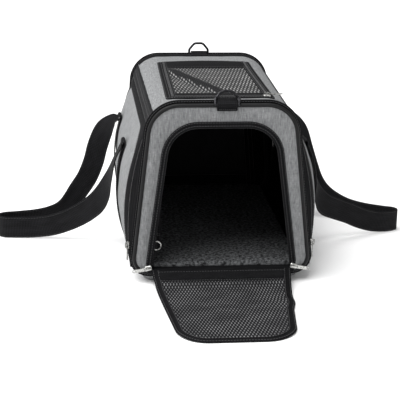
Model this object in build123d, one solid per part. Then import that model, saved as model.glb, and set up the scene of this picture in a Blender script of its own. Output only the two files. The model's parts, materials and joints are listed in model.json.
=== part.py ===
"""Soft-sided pet carrier bag with two end doors, a top hatch and two fold-down side panels.

Millimetres. The origin is the middle of the base, on the floor that the bag stands on.
+Z is up, the front door faces -Y and +X is to the right of someone facing the front door.
The front door lies open on the floor; every other door, hatch and panel is zipped shut.
"""

from math import asin, atan2, cos, degrees, hypot, radians, sin
import os

from build123d import *

# Overall sizes, measured between piping centrelines
bag_length = 470.0
floor_width = 282.0
front_shoulder_width = 216.0
rear_shoulder_width = 246.0
frame_top = 282.0
frame_bottom = 17.0
top_corner_radius = 47.0
bottom_corner_radius = 23.0

# Cloth, piping and binding
fabric = 2.0
cloth_gap = 0.2
piping_diameter = 6.5
frame_wire_diameter = 3.0
wire_clearance = 0.2
tunnel_standout = 3.0
seam_flange_reach = 8.0
seam_flange_thickness = 3.0
end_panel_thickness = 3.0

# Base and lining
base_edge_inset = 6.0
base_corner_radius = 20.0
board_thickness = 8.0
board_clearance = 1.0
mat_thickness = 12.0
mat_edge_gap = 13.0
mat_end_gap = 12.0

# Doorways and doors
doorway_low_margin = 18.5
doorway_high_margin = 23.5
doorway_top_margin = 24.5
doorway_corner_radius = 57.0
zip_tape_width = 9.0
zip_tape_thickness = 1.6
tape_overlap = 5.0
coil_width = 1.8
zip_gap = 0.4
door_thickness = 2.4
door_binding_width = 11.0
door_hem_width = 22.0
mesh_thickness = 1.2
door_hinge_height = 19.0
door_hinge_standout = 4.2
door_hem_clearance = 2.0

# Top hatch
hatch_width = 170.0
hatch_front_margin = 38.0
hatch_rear_margin = 104.0
hatch_binding_width = 12.0
hatch_hem_width = 38.0
hatch_thickness = 2.6

# Fold-down side panels
side_hinge_height = 24.0
shoulder_zip_height = 248.0
top_panel_height = 266.0
side_bulge = 30.0
bulge_power = 8
side_band_width = 11.0
side_panel_thickness = 3.0
side_border_width = 14.0
side_top_clearance = 1.4
tent_thickness = 2.4
tent_width = 9.0

# Handles
webbing_width = 38.0
webbing_thickness = 2.2
handle_spacing = 200.0
handle_pivot_height = 195.0
handle_standoff = 2.4
handle_drop = 4.0
anchor_gap = 1.0
anchor_foot_height = 30.0
handle_facets = 34
# Each route point: (out from the side's furthest reach, along, up), then the webbing's width direction
left_handle_route = [
    ((2, -98, 167), (0, 1, 0)),
    ((12, -88, 133), (0.2, 1, 0.2)),
    ((22, -73, 102), (0.5, 0.8, 0.5)),
    ((36, -57, 77), (0.5, 0.4, 0.8)),
    ((58, -42, 56), (0.3, 0.2, 1)),
    ((86, -28, 38), (0.1, 0, 1)),
    ((115, -18, 26), (0, 0, 1)),
    ((145, -12, 21), (0, 0, 1)),
    ((175, -9, 20), (0, 0, 1)),
    ((198, -5, 20), (0, 0, 1)),
    ((210, 8, 20), (0, 0, 1)),
    ((200, 22, 20), (0, 0, 1)),
    ((177, 27, 20), (0, 0, 1)),
    ((147, 33, 20), (0, 0.2, 1)),
    ((121, 45, 22), (0, 0.2, 1)),
    ((101, 63, 27), (0.2, 0, 1)),
    ((85, 84, 38), (0.5, 0, 1)),
    ((70, 99, 56), (0.8, 0, 0.8)),
    ((54, 106, 79), (1, 0, 0.6)),
    ((42, 107, 108), (1, 0.1, 0.3)),
    ((34, 105, 138), (1, 0.2, 0.3)),
    ((22, 103, 168), (0.8, 0.5, 0.4)),
    ((6, 101, 187), (0.3, 1, 0.3)),
]
right_handle_route = [
    ((2, -98, 165), (0, 1, 0)),
    ((11, -89, 129), (0.1, 1, 0)),
    ((20, -76, 95), (0.4, 0.8, 0.4)),
    ((36, -61, 71), (0.4, 0.3, 0.8)),
    ((60, -46, 57), (0.3, 0.1, 1)),
    ((86, -35, 45), (0.3, 0, 1)),
    ((111, -25, 32), (0.2, 0, 1)),
    ((137, -16, 23), (0, 0, 1)),
    ((164, -9, 20), (0, 0, 1)),
    ((183, 2, 20), (0, 0, 1)),
    ((180, 17, 20), (0, 0, 1)),
    ((160, 28, 20), (0, 0, 1)),
    ((132, 41, 21), (0.2, 0, 1)),
    ((105, 56, 25), (0.2, 0, 1)),
    ((82, 72, 33), (0.4, 0, 1)),
    ((61, 86, 47), (0.7, 0, 0.8)),
    ((46, 95, 68), (1, 0, 0.5)),
    ((36, 100, 95), (1, 0, 0.3)),
    ((26, 102, 128), (1, 0.2, 0.3)),
    ((17, 102, 163), (0.8, 0.5, 0.4)),
    ((7, 101, 187), (0.3, 1, 0.3)),
]

# D-rings
ring_width = 40.0
ring_height = 26.0
ring_wire_diameter = 3.8
ring_tab_width = 31.6
ring_standout = 5.7
ring_clearance = 0.4
ring_bend_radius = 2.4
ring_bar_rise = 2.0
ring_tab_run = 12.0
ring_tab_drop = 12.0
front_ring_offset = 5.0
front_ring_lean = 34.0

# Zip sliders and pulls
slider_width = 8.0
slider_length = 11.0
slider_thickness = 2.6
slider_lift = 0.3
slider_chamfer = 0.6
pull_length = 26.0
pull_width = 5.4
pull_thickness = 1.2
pull_hole_diameter = 3.0
pull_droop_angle = 10.0
bail_span = 6.8
bail_wire = 1.6
bail_rise = 2.2
bail_clearance = 0.35
hatch_slider_inset = 14.0
side_slider_rise = 34.0
side_slider_lift = 1.5
side_slider_tilt = 18.0

# Safety tether
tether_width = 15.0
tether_length = 70.0
tether_thickness = 1.8
tether_top = (-101.0, -222.0, 135.0)
clip_ring_radius = 7.0
clip_wire_diameter = 3.0

# Worked out from the sizes above
half_length = bag_length / 2
piping_radius = piping_diameter / 2
tunnel_inner = tunnel_standout - fabric
tunnel_end = half_length - piping_radius - cloth_gap - seam_flange_thickness - cloth_gap
tunnel_floor = frame_bottom - tunnel_standout
panel_face = end_panel_thickness / 2
tape_face = panel_face + zip_tape_thickness
door_back = tape_face - door_thickness
doorway_low = frame_bottom + piping_radius + 0.75
doorway_high = frame_top - doorway_top_margin
door_inset = zip_tape_width + coil_width + zip_gap
door_low = door_hinge_height + door_hem_clearance
pull_axle_height = slider_thickness + pull_thickness / 2 + slider_lift
door_reach = doorway_high - door_inset - door_hinge_height
door_face_offset = door_hinge_standout - tape_face
hatch_front = -half_length + hatch_front_margin
hatch_rear = half_length - hatch_rear_margin
side_panel_end = tunnel_end - side_band_width - coil_width - zip_gap
side_panel_top = shoulder_zip_height - side_top_clearance
big = 4 * bag_length


def half_width(y, z):
    """Half the bag's width at station y and height z, to the piping centreline's plane."""
    share = (y + half_length) / bag_length
    shoulder = front_shoulder_width + (rear_shoulder_width - front_shoulder_width) * share
    return (floor_width - (floor_width - shoulder) * z / frame_top) / 2


def upright_plane(y):
    """Vertical plane across the bag at station y, with local x to the right and local y up."""
    return Plane(origin=(0, y, 0), x_dir=(1, 0, 0), z_dir=(0, -1, 0))


def rounded_outline(corners, low_radius, high_radius):
    """Four-cornered sketch with one radius on its two low corners and one on its two high ones."""
    sketch = Polygon(*corners, align=None)
    if low_radius > 0:
        sketch = fillet(sketch.vertices().group_by(Axis.Y)[0], low_radius)
    return fillet(sketch.vertices().group_by(Axis.Y)[-1], high_radius)


def section(y, grow):
    """Cross-section of the bag at station y, grown outwards from the piping centreline."""
    low = frame_bottom - grow
    high = frame_top + grow
    low_half = half_width(y, low) + grow
    high_half = half_width(y, high) + grow
    corners = [(-low_half, low), (low_half, low), (high_half, high), (-high_half, high)]
    return rounded_outline(corners, bottom_corner_radius + grow, top_corner_radius + grow)


def tunnel(y0, y1, inner, outer):
    """Tube of the bag's cross-section between two stations and two growths."""
    skin = loft([upright_plane(y) * section(y, outer) for y in (y0, y1)], ruled=True)
    hollow = loft([upright_plane(y) * section(y, inner) for y in (y0 - 1, y1 + 1)], ruled=True)
    return skin - hollow


def box_between(x0, x1, y0, y1, z0, z1):
    """Axis-aligned box given by its limits."""
    middle = ((x0 + x1) / 2, (y0 + y1) / 2, (z0 + z1) / 2)
    return Pos(*middle) * Box(x1 - x0, y1 - y0, z1 - z0)


def height_slab(z0, z1):
    """Everything between two heights."""
    return box_between(-big, big, -big, big, z0, z1)


def end_layer(sketch, end, inward, outward):
    """Slab at one end of the bag (-1 front, +1 rear) between two distances from the end plane."""
    stations = sorted((end * (half_length + inward), end * (half_length + outward)))
    return extrude(upright_plane(stations[0]) * sketch, amount=stations[1] - stations[0], dir=(0, 1, 0))


def doorway_half(end, z, inset):
    """Half the doorway's width at height z, shrunk by inset."""
    share = (z - doorway_low) / (doorway_high - doorway_low)
    margin = doorway_low_margin + (doorway_high_margin - doorway_low_margin) * share
    return half_width(end * half_length, z) - margin - inset


def doorway(end, inset, low):
    """Arched outline of one doorway, shrunk by inset, with its foot at height low."""
    high = doorway_high - inset
    low_half = doorway_half(end, low, inset)
    high_half = doorway_half(end, high, inset)
    corners = [(-low_half, low), (low_half, low), (high_half, high), (-high_half, high)]
    return rounded_outline(corners, 0, doorway_corner_radius - inset)


def piping_ring(end, radius):
    """Round bead that follows the bag's outline at one end."""
    path = (upright_plane(end * half_length) * section(end * half_length, 0)).face().outer_wire()
    profile = Plane(origin=path @ 0, z_dir=path % 0) * Circle(radius)
    return sweep(profile, path=path)


def end_frame(end):
    """Piping with its spring wire, and the bound seam flange behind it."""
    piping = piping_ring(end, piping_radius) - piping_ring(end, frame_wire_diameter / 2 + wire_clearance)
    wire = piping_ring(end, frame_wire_diameter / 2)
    inner_station = tunnel_end + cloth_gap
    outer_station = inner_station + seam_flange_thickness
    stations = sorted((end * inner_station, end * outer_station))
    flange = tunnel(*stations, tunnel_inner - fabric, seam_flange_reach)
    return piping, wire, flange


def end_panel(end):
    """Grey end panel with its arched doorway cut through to its lower edge."""
    cloth = section(end * half_length, -piping_radius - cloth_gap)
    cut = doorway(end, tape_overlap, frame_bottom - piping_diameter)
    return end_layer(cloth - cut, end, -panel_face, panel_face)


def doorway_zip(end):
    """Black zip tape round the doorway, and the coil along the tape's inner edge."""
    tape_edge = doorway(end, zip_tape_width, doorway_low)
    coil_edge = doorway(end, zip_tape_width + coil_width, doorway_low)
    tape = end_layer(doorway(end, 0, doorway_low) - tape_edge, end, panel_face, tape_face)
    coil = end_layer(tape_edge - coil_edge, end, panel_face, tape_face)
    return tape, coil


def end_door(end):
    """Mesh door in its closed place: bound edge with a plain hem at its foot, and the mesh."""
    outline = doorway(end, door_inset, door_low)
    window = doorway(end, door_inset + door_binding_width, door_low + door_hem_width)
    binding = end_layer(outline - window, end, door_back, tape_face)
    mesh_back = door_back + (door_thickness - mesh_thickness) / 2
    mesh = end_layer(window, end, mesh_back, mesh_back + mesh_thickness)
    return binding, mesh


def door_hinge_axis(end):
    """Line that one end door turns about; a positive turn opens it outwards to the floor."""
    foot = (0, end * (half_length + door_hinge_standout), door_hinge_height)
    return Axis(foot, (-end, 0, 0))


def door_open_angle():
    """Turn from closed until the door's far edge rests on the floor."""
    reach = hypot(door_reach, door_face_offset)
    return 90 + degrees(asin(door_hinge_height / reach) + atan2(door_face_offset, door_reach))


def bulge(y):
    """How far the side panels stand out from the straight side at station y."""
    return side_bulge * (1 - (abs(y) / (half_length - piping_radius)) ** bulge_power)


def side_arc(y, top):
    """Centre (x, z), radius and end angles of the side's bowed outline at station y, on the right."""
    foot = (half_width(y, side_hinge_height) + tunnel_standout, side_hinge_height)
    head = (half_width(y, top) + tunnel_standout - fabric, top)
    chord = hypot(head[0] - foot[0], head[1] - foot[1])
    rise = bulge(y)
    radius = (chord ** 2 / 4 + rise ** 2) / (2 * rise)
    along = ((head[0] - foot[0]) / chord, (head[1] - foot[1]) / chord)
    inward = (-along[1], along[0])
    depth = radius - rise
    centre = ((foot[0] + head[0]) / 2 + inward[0] * depth, (foot[1] + head[1]) / 2 + inward[1] * depth)
    foot_angle = atan2(foot[1] - centre[1], foot[0] - centre[0])
    head_angle = atan2(head[1] - centre[1], head[0] - centre[0])
    return centre, radius, foot_angle, head_angle


def side_strip(y, inner, outer, top):
    """Bowed strip across the side at station y, between two offsets from its outer surface."""
    centre, radius, foot_angle, head_angle = side_arc(y, top)
    angles = (foot_angle, (foot_angle + head_angle) / 2, head_angle)

    def point(offset, angle):
        reach = radius + offset
        return (centre[0] + reach * cos(angle), centre[1] + reach * sin(angle))

    outside = [point(outer, angle) for angle in angles]
    inside = [point(inner, angle) for angle in angles]
    edges = [
        ThreePointArc(*outside),
        Line(outside[2], inside[2]),
        ThreePointArc(*reversed(inside)),
        Line(inside[0], outside[0]),
    ]
    return upright_plane(y) * make_face(edges)


def side_sheet(stations, inner, outer, top=side_panel_top):
    """Bowed sheet on the right side, through strips at the given stations."""
    return loft([side_strip(y, inner, outer, top) for y in stations])


def on_side(side, shape):
    """Shape modelled on the right, moved to one side (-1 left, +1 right)."""
    if side > 0:
        return shape
    return mirror(shape, about=Plane.YZ)


def side_stations(end):
    """Stations that a sheet on the side passes through, out to plus and minus end."""
    half = [0.0, 0.55 * end, 0.85 * end, end]
    return [-y for y in reversed(half[1:])] + half


def side_panel_parts():
    """Right fold-down panel: grey cloth, its black border and the mesh tent folded behind it."""
    sheet = side_sheet(side_stations(side_panel_end), -side_panel_thickness, 0)
    cloth_end = side_panel_end - side_border_width
    cloth_zone = box_between(0, big, -cloth_end, cloth_end, 0, side_panel_top - side_border_width)
    tent_outer = -side_panel_thickness - cloth_gap
    tent = side_sheet(side_stations(side_panel_end), tent_outer - tent_thickness, tent_outer)
    tent_end = side_panel_end - tent_width
    tent -= box_between(0, big, -tent_end, tent_end, 0, side_panel_top - tent_width)
    tent &= height_slab(side_hinge_height + tent_width, big)
    return sheet & cloth_zone, sheet - cloth_zone, tent


def side_band_parts():
    """Right fixed zip band round the side opening, and the coil on its inner edge."""
    coil_start = side_panel_end + zip_gap
    band_start = coil_start + coil_width
    bands = []
    coils = []
    for end in (-1, 1):
        band_ends = sorted((end * band_start, end * tunnel_end))
        coil_ends = sorted((end * coil_start, end * band_start))
        bands.append(side_sheet(band_ends, -fabric, 0, shoulder_zip_height))
        coils.append(side_sheet(coil_ends, -fabric, 0, shoulder_zip_height))
    right_half = box_between(0, big, -big, big, 0, big)
    shoulder = tunnel(-tunnel_end, tunnel_end, tunnel_inner, tunnel_standout) & right_half
    coil_top = shoulder_zip_height + coil_width
    bands.append(shoulder & height_slab(coil_top, top_panel_height))
    coils.append(shoulder & height_slab(shoulder_zip_height, coil_top))
    return Compound(children=bands), Compound(children=coils)


def hatch_zone(margin, rear):
    """Upright box over the hatch opening, grown by margin on its zipped sides."""
    half = hatch_width / 2 + margin
    return box_between(-half, half, hatch_front - margin, rear, frame_top - top_corner_radius, big)


def top_parts():
    """Top panel with its hatch opening, the hatch's zip, and the hatch's binding and mesh."""
    skin = tunnel(-tunnel_end, tunnel_end, tunnel_inner, tunnel_standout)
    panel = (skin & height_slab(top_panel_height, big)) - hatch_zone(-tape_overlap, hatch_rear)
    zip_layer = tunnel(-tunnel_end, tunnel_end, tunnel_standout, tunnel_standout + zip_tape_thickness)
    tape = (zip_layer & hatch_zone(0, hatch_rear)) - hatch_zone(-zip_tape_width, hatch_rear)
    coil_margin = -zip_tape_width - coil_width
    coil = (zip_layer & hatch_zone(-zip_tape_width, hatch_rear)) - hatch_zone(coil_margin, hatch_rear)
    lid_margin = coil_margin - zip_gap
    lid_top = tunnel_standout + zip_tape_thickness
    lid_layer = tunnel(-tunnel_end, tunnel_end, lid_top - hatch_thickness, lid_top)
    lid = lid_layer & hatch_zone(lid_margin, hatch_rear - zip_gap)
    window = hatch_zone(lid_margin - hatch_binding_width, hatch_rear - hatch_hem_width)
    mesh_top = lid_top - (hatch_thickness - mesh_thickness) / 2
    mesh_layer = tunnel(-tunnel_end, tunnel_end, mesh_top - mesh_thickness, mesh_top)
    return panel, tape, coil, lid - window, mesh_layer & window


def base_parts():
    """Tunnel floor, padded base cover with its stiff board, and the loose fleece mat."""
    skin = tunnel(-tunnel_end, tunnel_end, tunnel_inner, tunnel_standout)
    floor_cloth = skin & height_slab(0, side_hinge_height - cloth_gap)
    cover_half = half_width(0, 0) - base_edge_inset - bottom_corner_radius / 2
    cover_outline = RectangleRounded(2 * cover_half, 2 * tunnel_end, base_corner_radius)
    cover = extrude(cover_outline, amount=tunnel_floor)
    pocket_size = (2 * (cover_half - fabric), 2 * (tunnel_end - fabric))
    pocket_radius = base_corner_radius - fabric
    pocket = extrude(RectangleRounded(*pocket_size, pocket_radius), amount=tunnel_floor - 2 * fabric)
    cover -= Pos(0, 0, fabric) * pocket
    board_size = (pocket_size[0] - 2 * board_clearance, pocket_size[1] - 2 * board_clearance)
    board = extrude(RectangleRounded(*board_size, pocket_radius - board_clearance), amount=board_thickness)
    board = Pos(0, 0, fabric + cloth_gap) * board
    mat_half = half_width(0, side_hinge_height) - mat_edge_gap
    mat_outline = RectangleRounded(2 * mat_half, 2 * (half_length - mat_end_gap), base_corner_radius)
    mat_low = frame_bottom - tunnel_inner + cloth_gap
    mat = extrude(mat_outline, amount=mat_thickness)
    mat = Pos(0, 0, mat_low) * fillet(mat.edges().group_by(Axis.Z)[-1], mat_thickness / 3)
    mat &= loft([upright_plane(y) * section(y, tunnel_inner - cloth_gap) for y in (-half_length, half_length)])
    return floor_cloth, cover, board, mat


def zip_slider():
    """Slider lying flat along local X, standing on local z = 0, with a bail arched over its back."""
    body = extrude(RectangleRounded(slider_length, slider_width, 2), amount=slider_thickness)
    body = chamfer(body.faces().sort_by(Axis.Z)[-1].edges(), slider_chamfer)
    post = bail_span / 2
    half_bar = bail_wire / 2
    bar_height = pull_axle_height + bail_rise
    for way in (-1, 1):
        middle = way * post
        limits = (middle - half_bar, middle + half_bar, -half_bar, half_bar)
        body += box_between(*limits, slider_thickness - slider_chamfer, bar_height + half_bar)
    span = post + half_bar
    return body + box_between(-span, span, -half_bar, half_bar, bar_height - half_bar, bar_height + half_bar)


def zip_pull():
    """Pull tab that lies along local +X and turns about its own end bar, along local Y."""
    bar = pull_thickness / 2
    blank = Pos(pull_length / 2 - bar, 0) * SlotOverall(pull_length, pull_width)
    root = Pos(pull_width / 4 - bar / 2, 0) * Rectangle(pull_width / 2 + bar, pull_width)
    eye_end = bail_span / 2 + bail_wire + bail_clearance + pull_thickness
    eye_half = bail_wire / 2 + bail_clearance
    eye = Pos((bar + eye_end) / 2, 0) * Rectangle(eye_end - bar, 2 * eye_half)
    hole = Pos(pull_length - pull_width / 2 - bar, 0) * Circle(pull_hole_diameter / 2)
    tab = extrude(blank + root - eye - hole, amount=pull_thickness)
    return Pos(0, 0, pull_axle_height - bar) * tab


def slider_places():
    """Plane of each slider: its x axis is the way the pull lies, its z axis is away from the bag."""
    clear_inset = zip_tape_width + coil_width
    standing = half_length + tape_face + slider_lift
    parked = doorway_low + slider_width / 2 + slider_lift
    droop = radians(pull_droop_angle)
    places = {}
    for name, side in (("left", -1), ("right", 1)):
        foot_reach = doorway_half(-1, parked, clear_inset) + slider_length / 2 + zip_gap
        foot = (side * foot_reach, -standing, parked)
        lie = (side * cos(droop), 0, -sin(droop))
        places["front_slider_" + name] = Plane(origin=foot, x_dir=lie, z_dir=(0, -1, 0))
        top = (side * slider_length, standing, doorway_high - clear_inset + slider_width / 2 + zip_gap)
        places["rear_slider_" + name] = Plane(origin=top, x_dir=(side, 0, 0), z_dir=(0, 1, 0))
        places["side_slider_" + name] = side_slider_place(side)
    hatch_level = frame_top + tunnel_standout + zip_tape_thickness + slider_lift
    front_edge = hatch_front + clear_inset - slider_width / 2 - zip_gap
    corner = (hatch_width / 2 - hatch_slider_inset, front_edge, hatch_level)
    places["hatch_slider"] = Plane(origin=corner, x_dir=(1, 0, 0), z_dir=(0, 0, 1))
    return places


def side_zip_arc():
    """Station, centre, radius and end angles of the right side zip's front leg."""
    station = -(side_panel_end + zip_gap + slider_width / 2)
    return station, *side_arc(station, shoulder_zip_height)


def side_slider_place(side):
    """Plane of one side zip's slider, parked near the foot of the front leg of the zip."""
    station, centre, radius, foot_angle, _ = side_zip_arc()
    angle = foot_angle + side_slider_rise / radius
    reach = radius + side_slider_lift
    tilt = radians(side_slider_tilt)
    origin = (side * (centre[0] + reach * cos(angle)), station, centre[1] + reach * sin(angle))
    down = (side * sin(angle), 0, -cos(angle))
    outward = (side * cos(angle) * cos(tilt), -sin(tilt), sin(angle) * cos(tilt))
    return Plane(origin=origin, x_dir=down, z_dir=outward)


def ribbon(stations, width, thickness, facets):
    """Flat strap through (centre, width direction) stations, made of short straight facets."""
    path = Spline([centre for centre, _ in stations])
    marks = [path.param_at_point(centre) for centre, _ in stations]
    faces = []
    for step in range(facets + 1):
        share = step / facets
        index = max(place for place in range(len(marks) - 1) if marks[place] <= share + 1e-6)
        blend = (share - marks[index]) / (marks[index + 1] - marks[index])
        before = Vector(*stations[index][1]).normalized()
        after = Vector(*stations[index + 1][1]).normalized()
        across = before * (1 - blend) + after * blend
        tangent = path % share
        across = (across - tangent * across.dot(tangent)).normalized()
        faces.append(Plane(origin=path @ share, x_dir=across, z_dir=tangent) * Rectangle(width, thickness))
    return loft(faces, ruled=True)


def handle_root(side, end):
    """Point on the hinge line of one handle, just outside the top of one stitched-down end."""
    station = end * handle_spacing / 2
    centre, radius, _, _ = side_arc(station, side_panel_top)
    rise = handle_pivot_height - centre[1]
    reach = radius + cloth_gap + webbing_thickness + handle_standoff
    return Vector(side * (centre[0] + (reach ** 2 - rise ** 2) ** 0.5), station, handle_pivot_height)


def side_reach():
    """Furthest that a bowed side stands out from the middle of the bag."""
    centre, radius, _, _ = side_arc(0, side_panel_top)
    return centre[0] + radius


def handle_stations(side):
    """Centres and width directions of one handle's webbing, as it lies flopped out on the floor."""
    step = Vector(side * handle_standoff, 0, -handle_drop)
    near, far = (tuple(handle_root(side, end) + step) for end in (-1, 1))
    reach = side_reach()
    along = (0, 1, 0)
    stations = [(near, along)]
    for (out, y, z), across in left_handle_route if side < 0 else right_handle_route:
        stations.append(((side * (reach + out), y, z), (side * across[0], *across[1:])))
    return stations + [(far, along)]


def anchor_webbing(side):
    """The handle's two stitched-down ends, which follow the bowed side panel below the pivot."""
    straps = side_sheet(side_stations(side_panel_end), cloth_gap, cloth_gap + webbing_thickness)
    pieces = []
    for end in (-1, 1):
        middle = end * handle_spacing / 2
        limits = (0, big, middle - webbing_width / 2, middle + webbing_width / 2)
        zone = box_between(*limits, anchor_foot_height, handle_pivot_height - handle_drop - anchor_gap)
        pieces.append(straps & zone)
    return on_side(side, Compound(children=pieces))


def ring_axis(end):
    """Centre of the D-ring's straight bar at one end of the bag."""
    middle = front_ring_offset if end < 0 else 0.0
    return Vector(middle, end * (half_length + ring_standout), frame_top + ring_bar_rise)


def d_ring(end):
    """D-ring with a flat bar and a peaked bow, standing at its rest lean."""
    half = (ring_width - ring_wire_diameter) / 2
    high = ring_height - ring_wire_diameter
    corners = [(-half, 0), (-half, 0.45 * high), (-0.45 * half, high), (0.45 * half, high)]
    corners += [(half, 0.45 * high), (half, 0)]
    outline = FilletPolyline(*corners, radius=ring_bend_radius, close=True)
    path = upright_plane(0) * outline
    profile = Plane(origin=path @ 0, z_dir=path % 0) * Circle(ring_wire_diameter / 2)
    ring = sweep(profile, path=path)
    lean = -front_ring_lean if end < 0 else 0.0
    return Pos(*ring_axis(end)) * (Rot(X=lean) * ring)


def ring_tab(end):
    """Webbing tab that runs over the bag's rim and holds the D-ring's bar."""
    bar = (ring_standout, frame_top + ring_bar_rise)
    bore = ring_wire_diameter / 2 + ring_clearance
    wall = bore + webbing_thickness
    rim = frame_top + seam_flange_reach + cloth_gap + webbing_thickness
    panel_top = frame_top + tunnel_standout + cloth_gap
    flange_back = tunnel_end - half_length - cloth_gap
    outline = [
        (flange_back - ring_tab_run, panel_top),
        (flange_back - ring_tab_run, panel_top + webbing_thickness),
        (flange_back, rim),
        (flange_back + seam_flange_thickness + 2 * cloth_gap, rim),
        (bar[0], bar[1] + wall),
        (bar[0] + wall, bar[1]),
        (bar[0], bar[1] - wall),
        (panel_face + cloth_gap + webbing_thickness, frame_top - ring_tab_drop),
        (panel_face + cloth_gap, frame_top - ring_tab_drop),
        (panel_face + cloth_gap, panel_top),
    ]
    face = Polygon(*outline, align=None) - Pos(*bar) * Circle(bore)
    face -= Pos(0, frame_top) * Circle(piping_radius + cloth_gap)
    flange_low = flange_back - cloth_gap
    flange_high = flange_back + seam_flange_thickness + 2 * cloth_gap
    flange_middle = (flange_low + flange_high) / 2
    flange_top = frame_top + seam_flange_reach + cloth_gap
    face -= Pos(flange_middle, flange_top - big / 2) * Rectangle(flange_high - flange_low, big)
    plane = Plane(origin=(0, end * half_length, 0), x_dir=(0, end, 0), z_dir=(end, 0, 0))
    tab = extrude(plane * face, amount=ring_tab_width / 2, both=True)
    return Pos(ring_axis(end).X, 0, 0) * tab


def tether_parts():
    """Short webbing tether sewn inside by the front doorway, with a snap clip at its end."""
    top = tether_top
    strap = box_between(
        top[0] - tether_width / 2, top[0] + tether_width / 2,
        top[1], top[1] + tether_thickness, top[2] - tether_length, top[2],
    )
    clip_top = (top[0], top[1] + tether_thickness / 2, top[2] - tether_length)
    drop = clip_ring_radius + clip_wire_diameter / 2 + cloth_gap
    ring = Pos(clip_top[0], clip_top[1], clip_top[2] - drop) * (
        Rot(X=90) * Torus(clip_ring_radius, clip_wire_diameter / 2)
    )
    return strap, ring


def main():
    """Build every piece and write one STEP file for each."""
    pieces = {}
    for end, name in ((-1, "front"), (1, "rear")):
        piping, wire, flange = end_frame(end)
        tape, coil = doorway_zip(end)
        binding, mesh = end_door(end)
        pieces[name + "_panel"] = end_panel(end)
        pieces[name + "_piping"] = piping
        pieces[name + "_frame_wire"] = wire
        pieces[name + "_seam_binding"] = flange
        pieces[name + "_zip_tape"] = tape
        pieces[name + "_zip_coil"] = coil
        pieces[name + "_door_binding"] = binding
        pieces[name + "_door_mesh"] = mesh
        pieces[name + "_d_ring"] = d_ring(end)
        pieces[name + "_ring_tab"] = ring_tab(end)
    for node in ("front_door_binding", "front_door_mesh"):
        pieces[node] = pieces[node].rotate(door_hinge_axis(-1), door_open_angle())
    cloth, border, tent = side_panel_parts()
    band, coil = side_band_parts()
    for side, name in ((-1, "left"), (1, "right")):
        pieces["side_panel_" + name] = on_side(side, cloth)
        pieces["side_border_" + name] = on_side(side, border)
        pieces["side_tent_" + name] = on_side(side, tent)
        pieces["side_band_" + name] = on_side(side, band)
        pieces["side_zip_coil_" + name] = on_side(side, coil)
        pieces["handle_" + name] = ribbon(handle_stations(side), webbing_width, webbing_thickness, handle_facets)
        pieces["handle_anchor_" + name] = anchor_webbing(side)
    top_names = ("top_panel", "hatch_zip_tape", "hatch_zip_coil", "hatch_binding", "hatch_mesh")
    pieces.update(zip(top_names, top_parts()))
    base_names = ("floor_cloth", "base_cover", "base_board", "fleece_mat")
    pieces.update(zip(base_names, base_parts()))
    pieces.update(zip(("tether_strap", "tether_clip"), tether_parts()))
    for name, plane in slider_places().items():
        pieces[name] = plane * zip_slider()
        pieces[name.replace("slider", "pull")] = plane * zip_pull()
    os.makedirs("parts", exist_ok=True)
    for node, shape in pieces.items():
        export_step(shape, f"parts/{node}.step")
    return pieces


if __name__ == "__main__":
    main()
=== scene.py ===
"""Looks of a soft-sided pet carrier bag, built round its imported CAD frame.

Metres. The origin is the middle of the base, on the floor that the bag stands on.
+Z is up, the front door faces -Y and +X is to the right of someone facing the front door.
The front door lies open on the floor; every other door, hatch and panel is zipped shut.
"""

import json
from math import acos, atan2, cos, pi, radians, sin, tan

import bmesh
import bpy
import numpy as np
from mathutils import Matrix, Vector, noise


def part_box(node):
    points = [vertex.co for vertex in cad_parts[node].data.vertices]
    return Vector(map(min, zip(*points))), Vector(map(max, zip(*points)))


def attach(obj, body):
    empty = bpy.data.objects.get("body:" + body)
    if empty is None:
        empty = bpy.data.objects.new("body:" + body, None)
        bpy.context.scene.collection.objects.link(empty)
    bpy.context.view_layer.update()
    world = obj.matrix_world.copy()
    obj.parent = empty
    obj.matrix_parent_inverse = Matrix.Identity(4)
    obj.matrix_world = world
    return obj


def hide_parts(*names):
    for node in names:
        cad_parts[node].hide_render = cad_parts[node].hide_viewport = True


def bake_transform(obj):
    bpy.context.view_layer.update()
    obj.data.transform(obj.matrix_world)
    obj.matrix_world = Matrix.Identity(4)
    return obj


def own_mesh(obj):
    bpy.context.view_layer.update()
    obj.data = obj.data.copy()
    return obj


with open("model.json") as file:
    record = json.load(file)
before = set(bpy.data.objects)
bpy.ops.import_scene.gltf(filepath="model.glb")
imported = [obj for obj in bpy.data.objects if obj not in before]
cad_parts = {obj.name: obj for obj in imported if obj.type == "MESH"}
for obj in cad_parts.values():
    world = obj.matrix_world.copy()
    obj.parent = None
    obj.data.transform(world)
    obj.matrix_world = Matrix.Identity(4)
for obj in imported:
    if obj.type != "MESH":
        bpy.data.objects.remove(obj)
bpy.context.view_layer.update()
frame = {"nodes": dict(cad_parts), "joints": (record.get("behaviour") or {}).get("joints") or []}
joints = {joint["name"]: joint for joint in frame["joints"]}
mm = 0.001

# Overall sizes, measured between piping centrelines
half_length = 235 * mm
floor_width = 282 * mm
front_shoulder_width = 216 * mm
rear_shoulder_width = 246 * mm
frame_top = 282 * mm
frame_bottom = 17 * mm
top_corner_radius = 47 * mm
bottom_corner_radius = 23 * mm
piping_radius = 3.25 * mm
tunnel_standout = 3 * mm
seam_flange_reach = 8 * mm
seam_flange_thickness = 3 * mm
tunnel_end = 228.35 * mm
cloth_thickness = 2 * mm
bag_middle = np.array([0, 0, 0.14])

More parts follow.
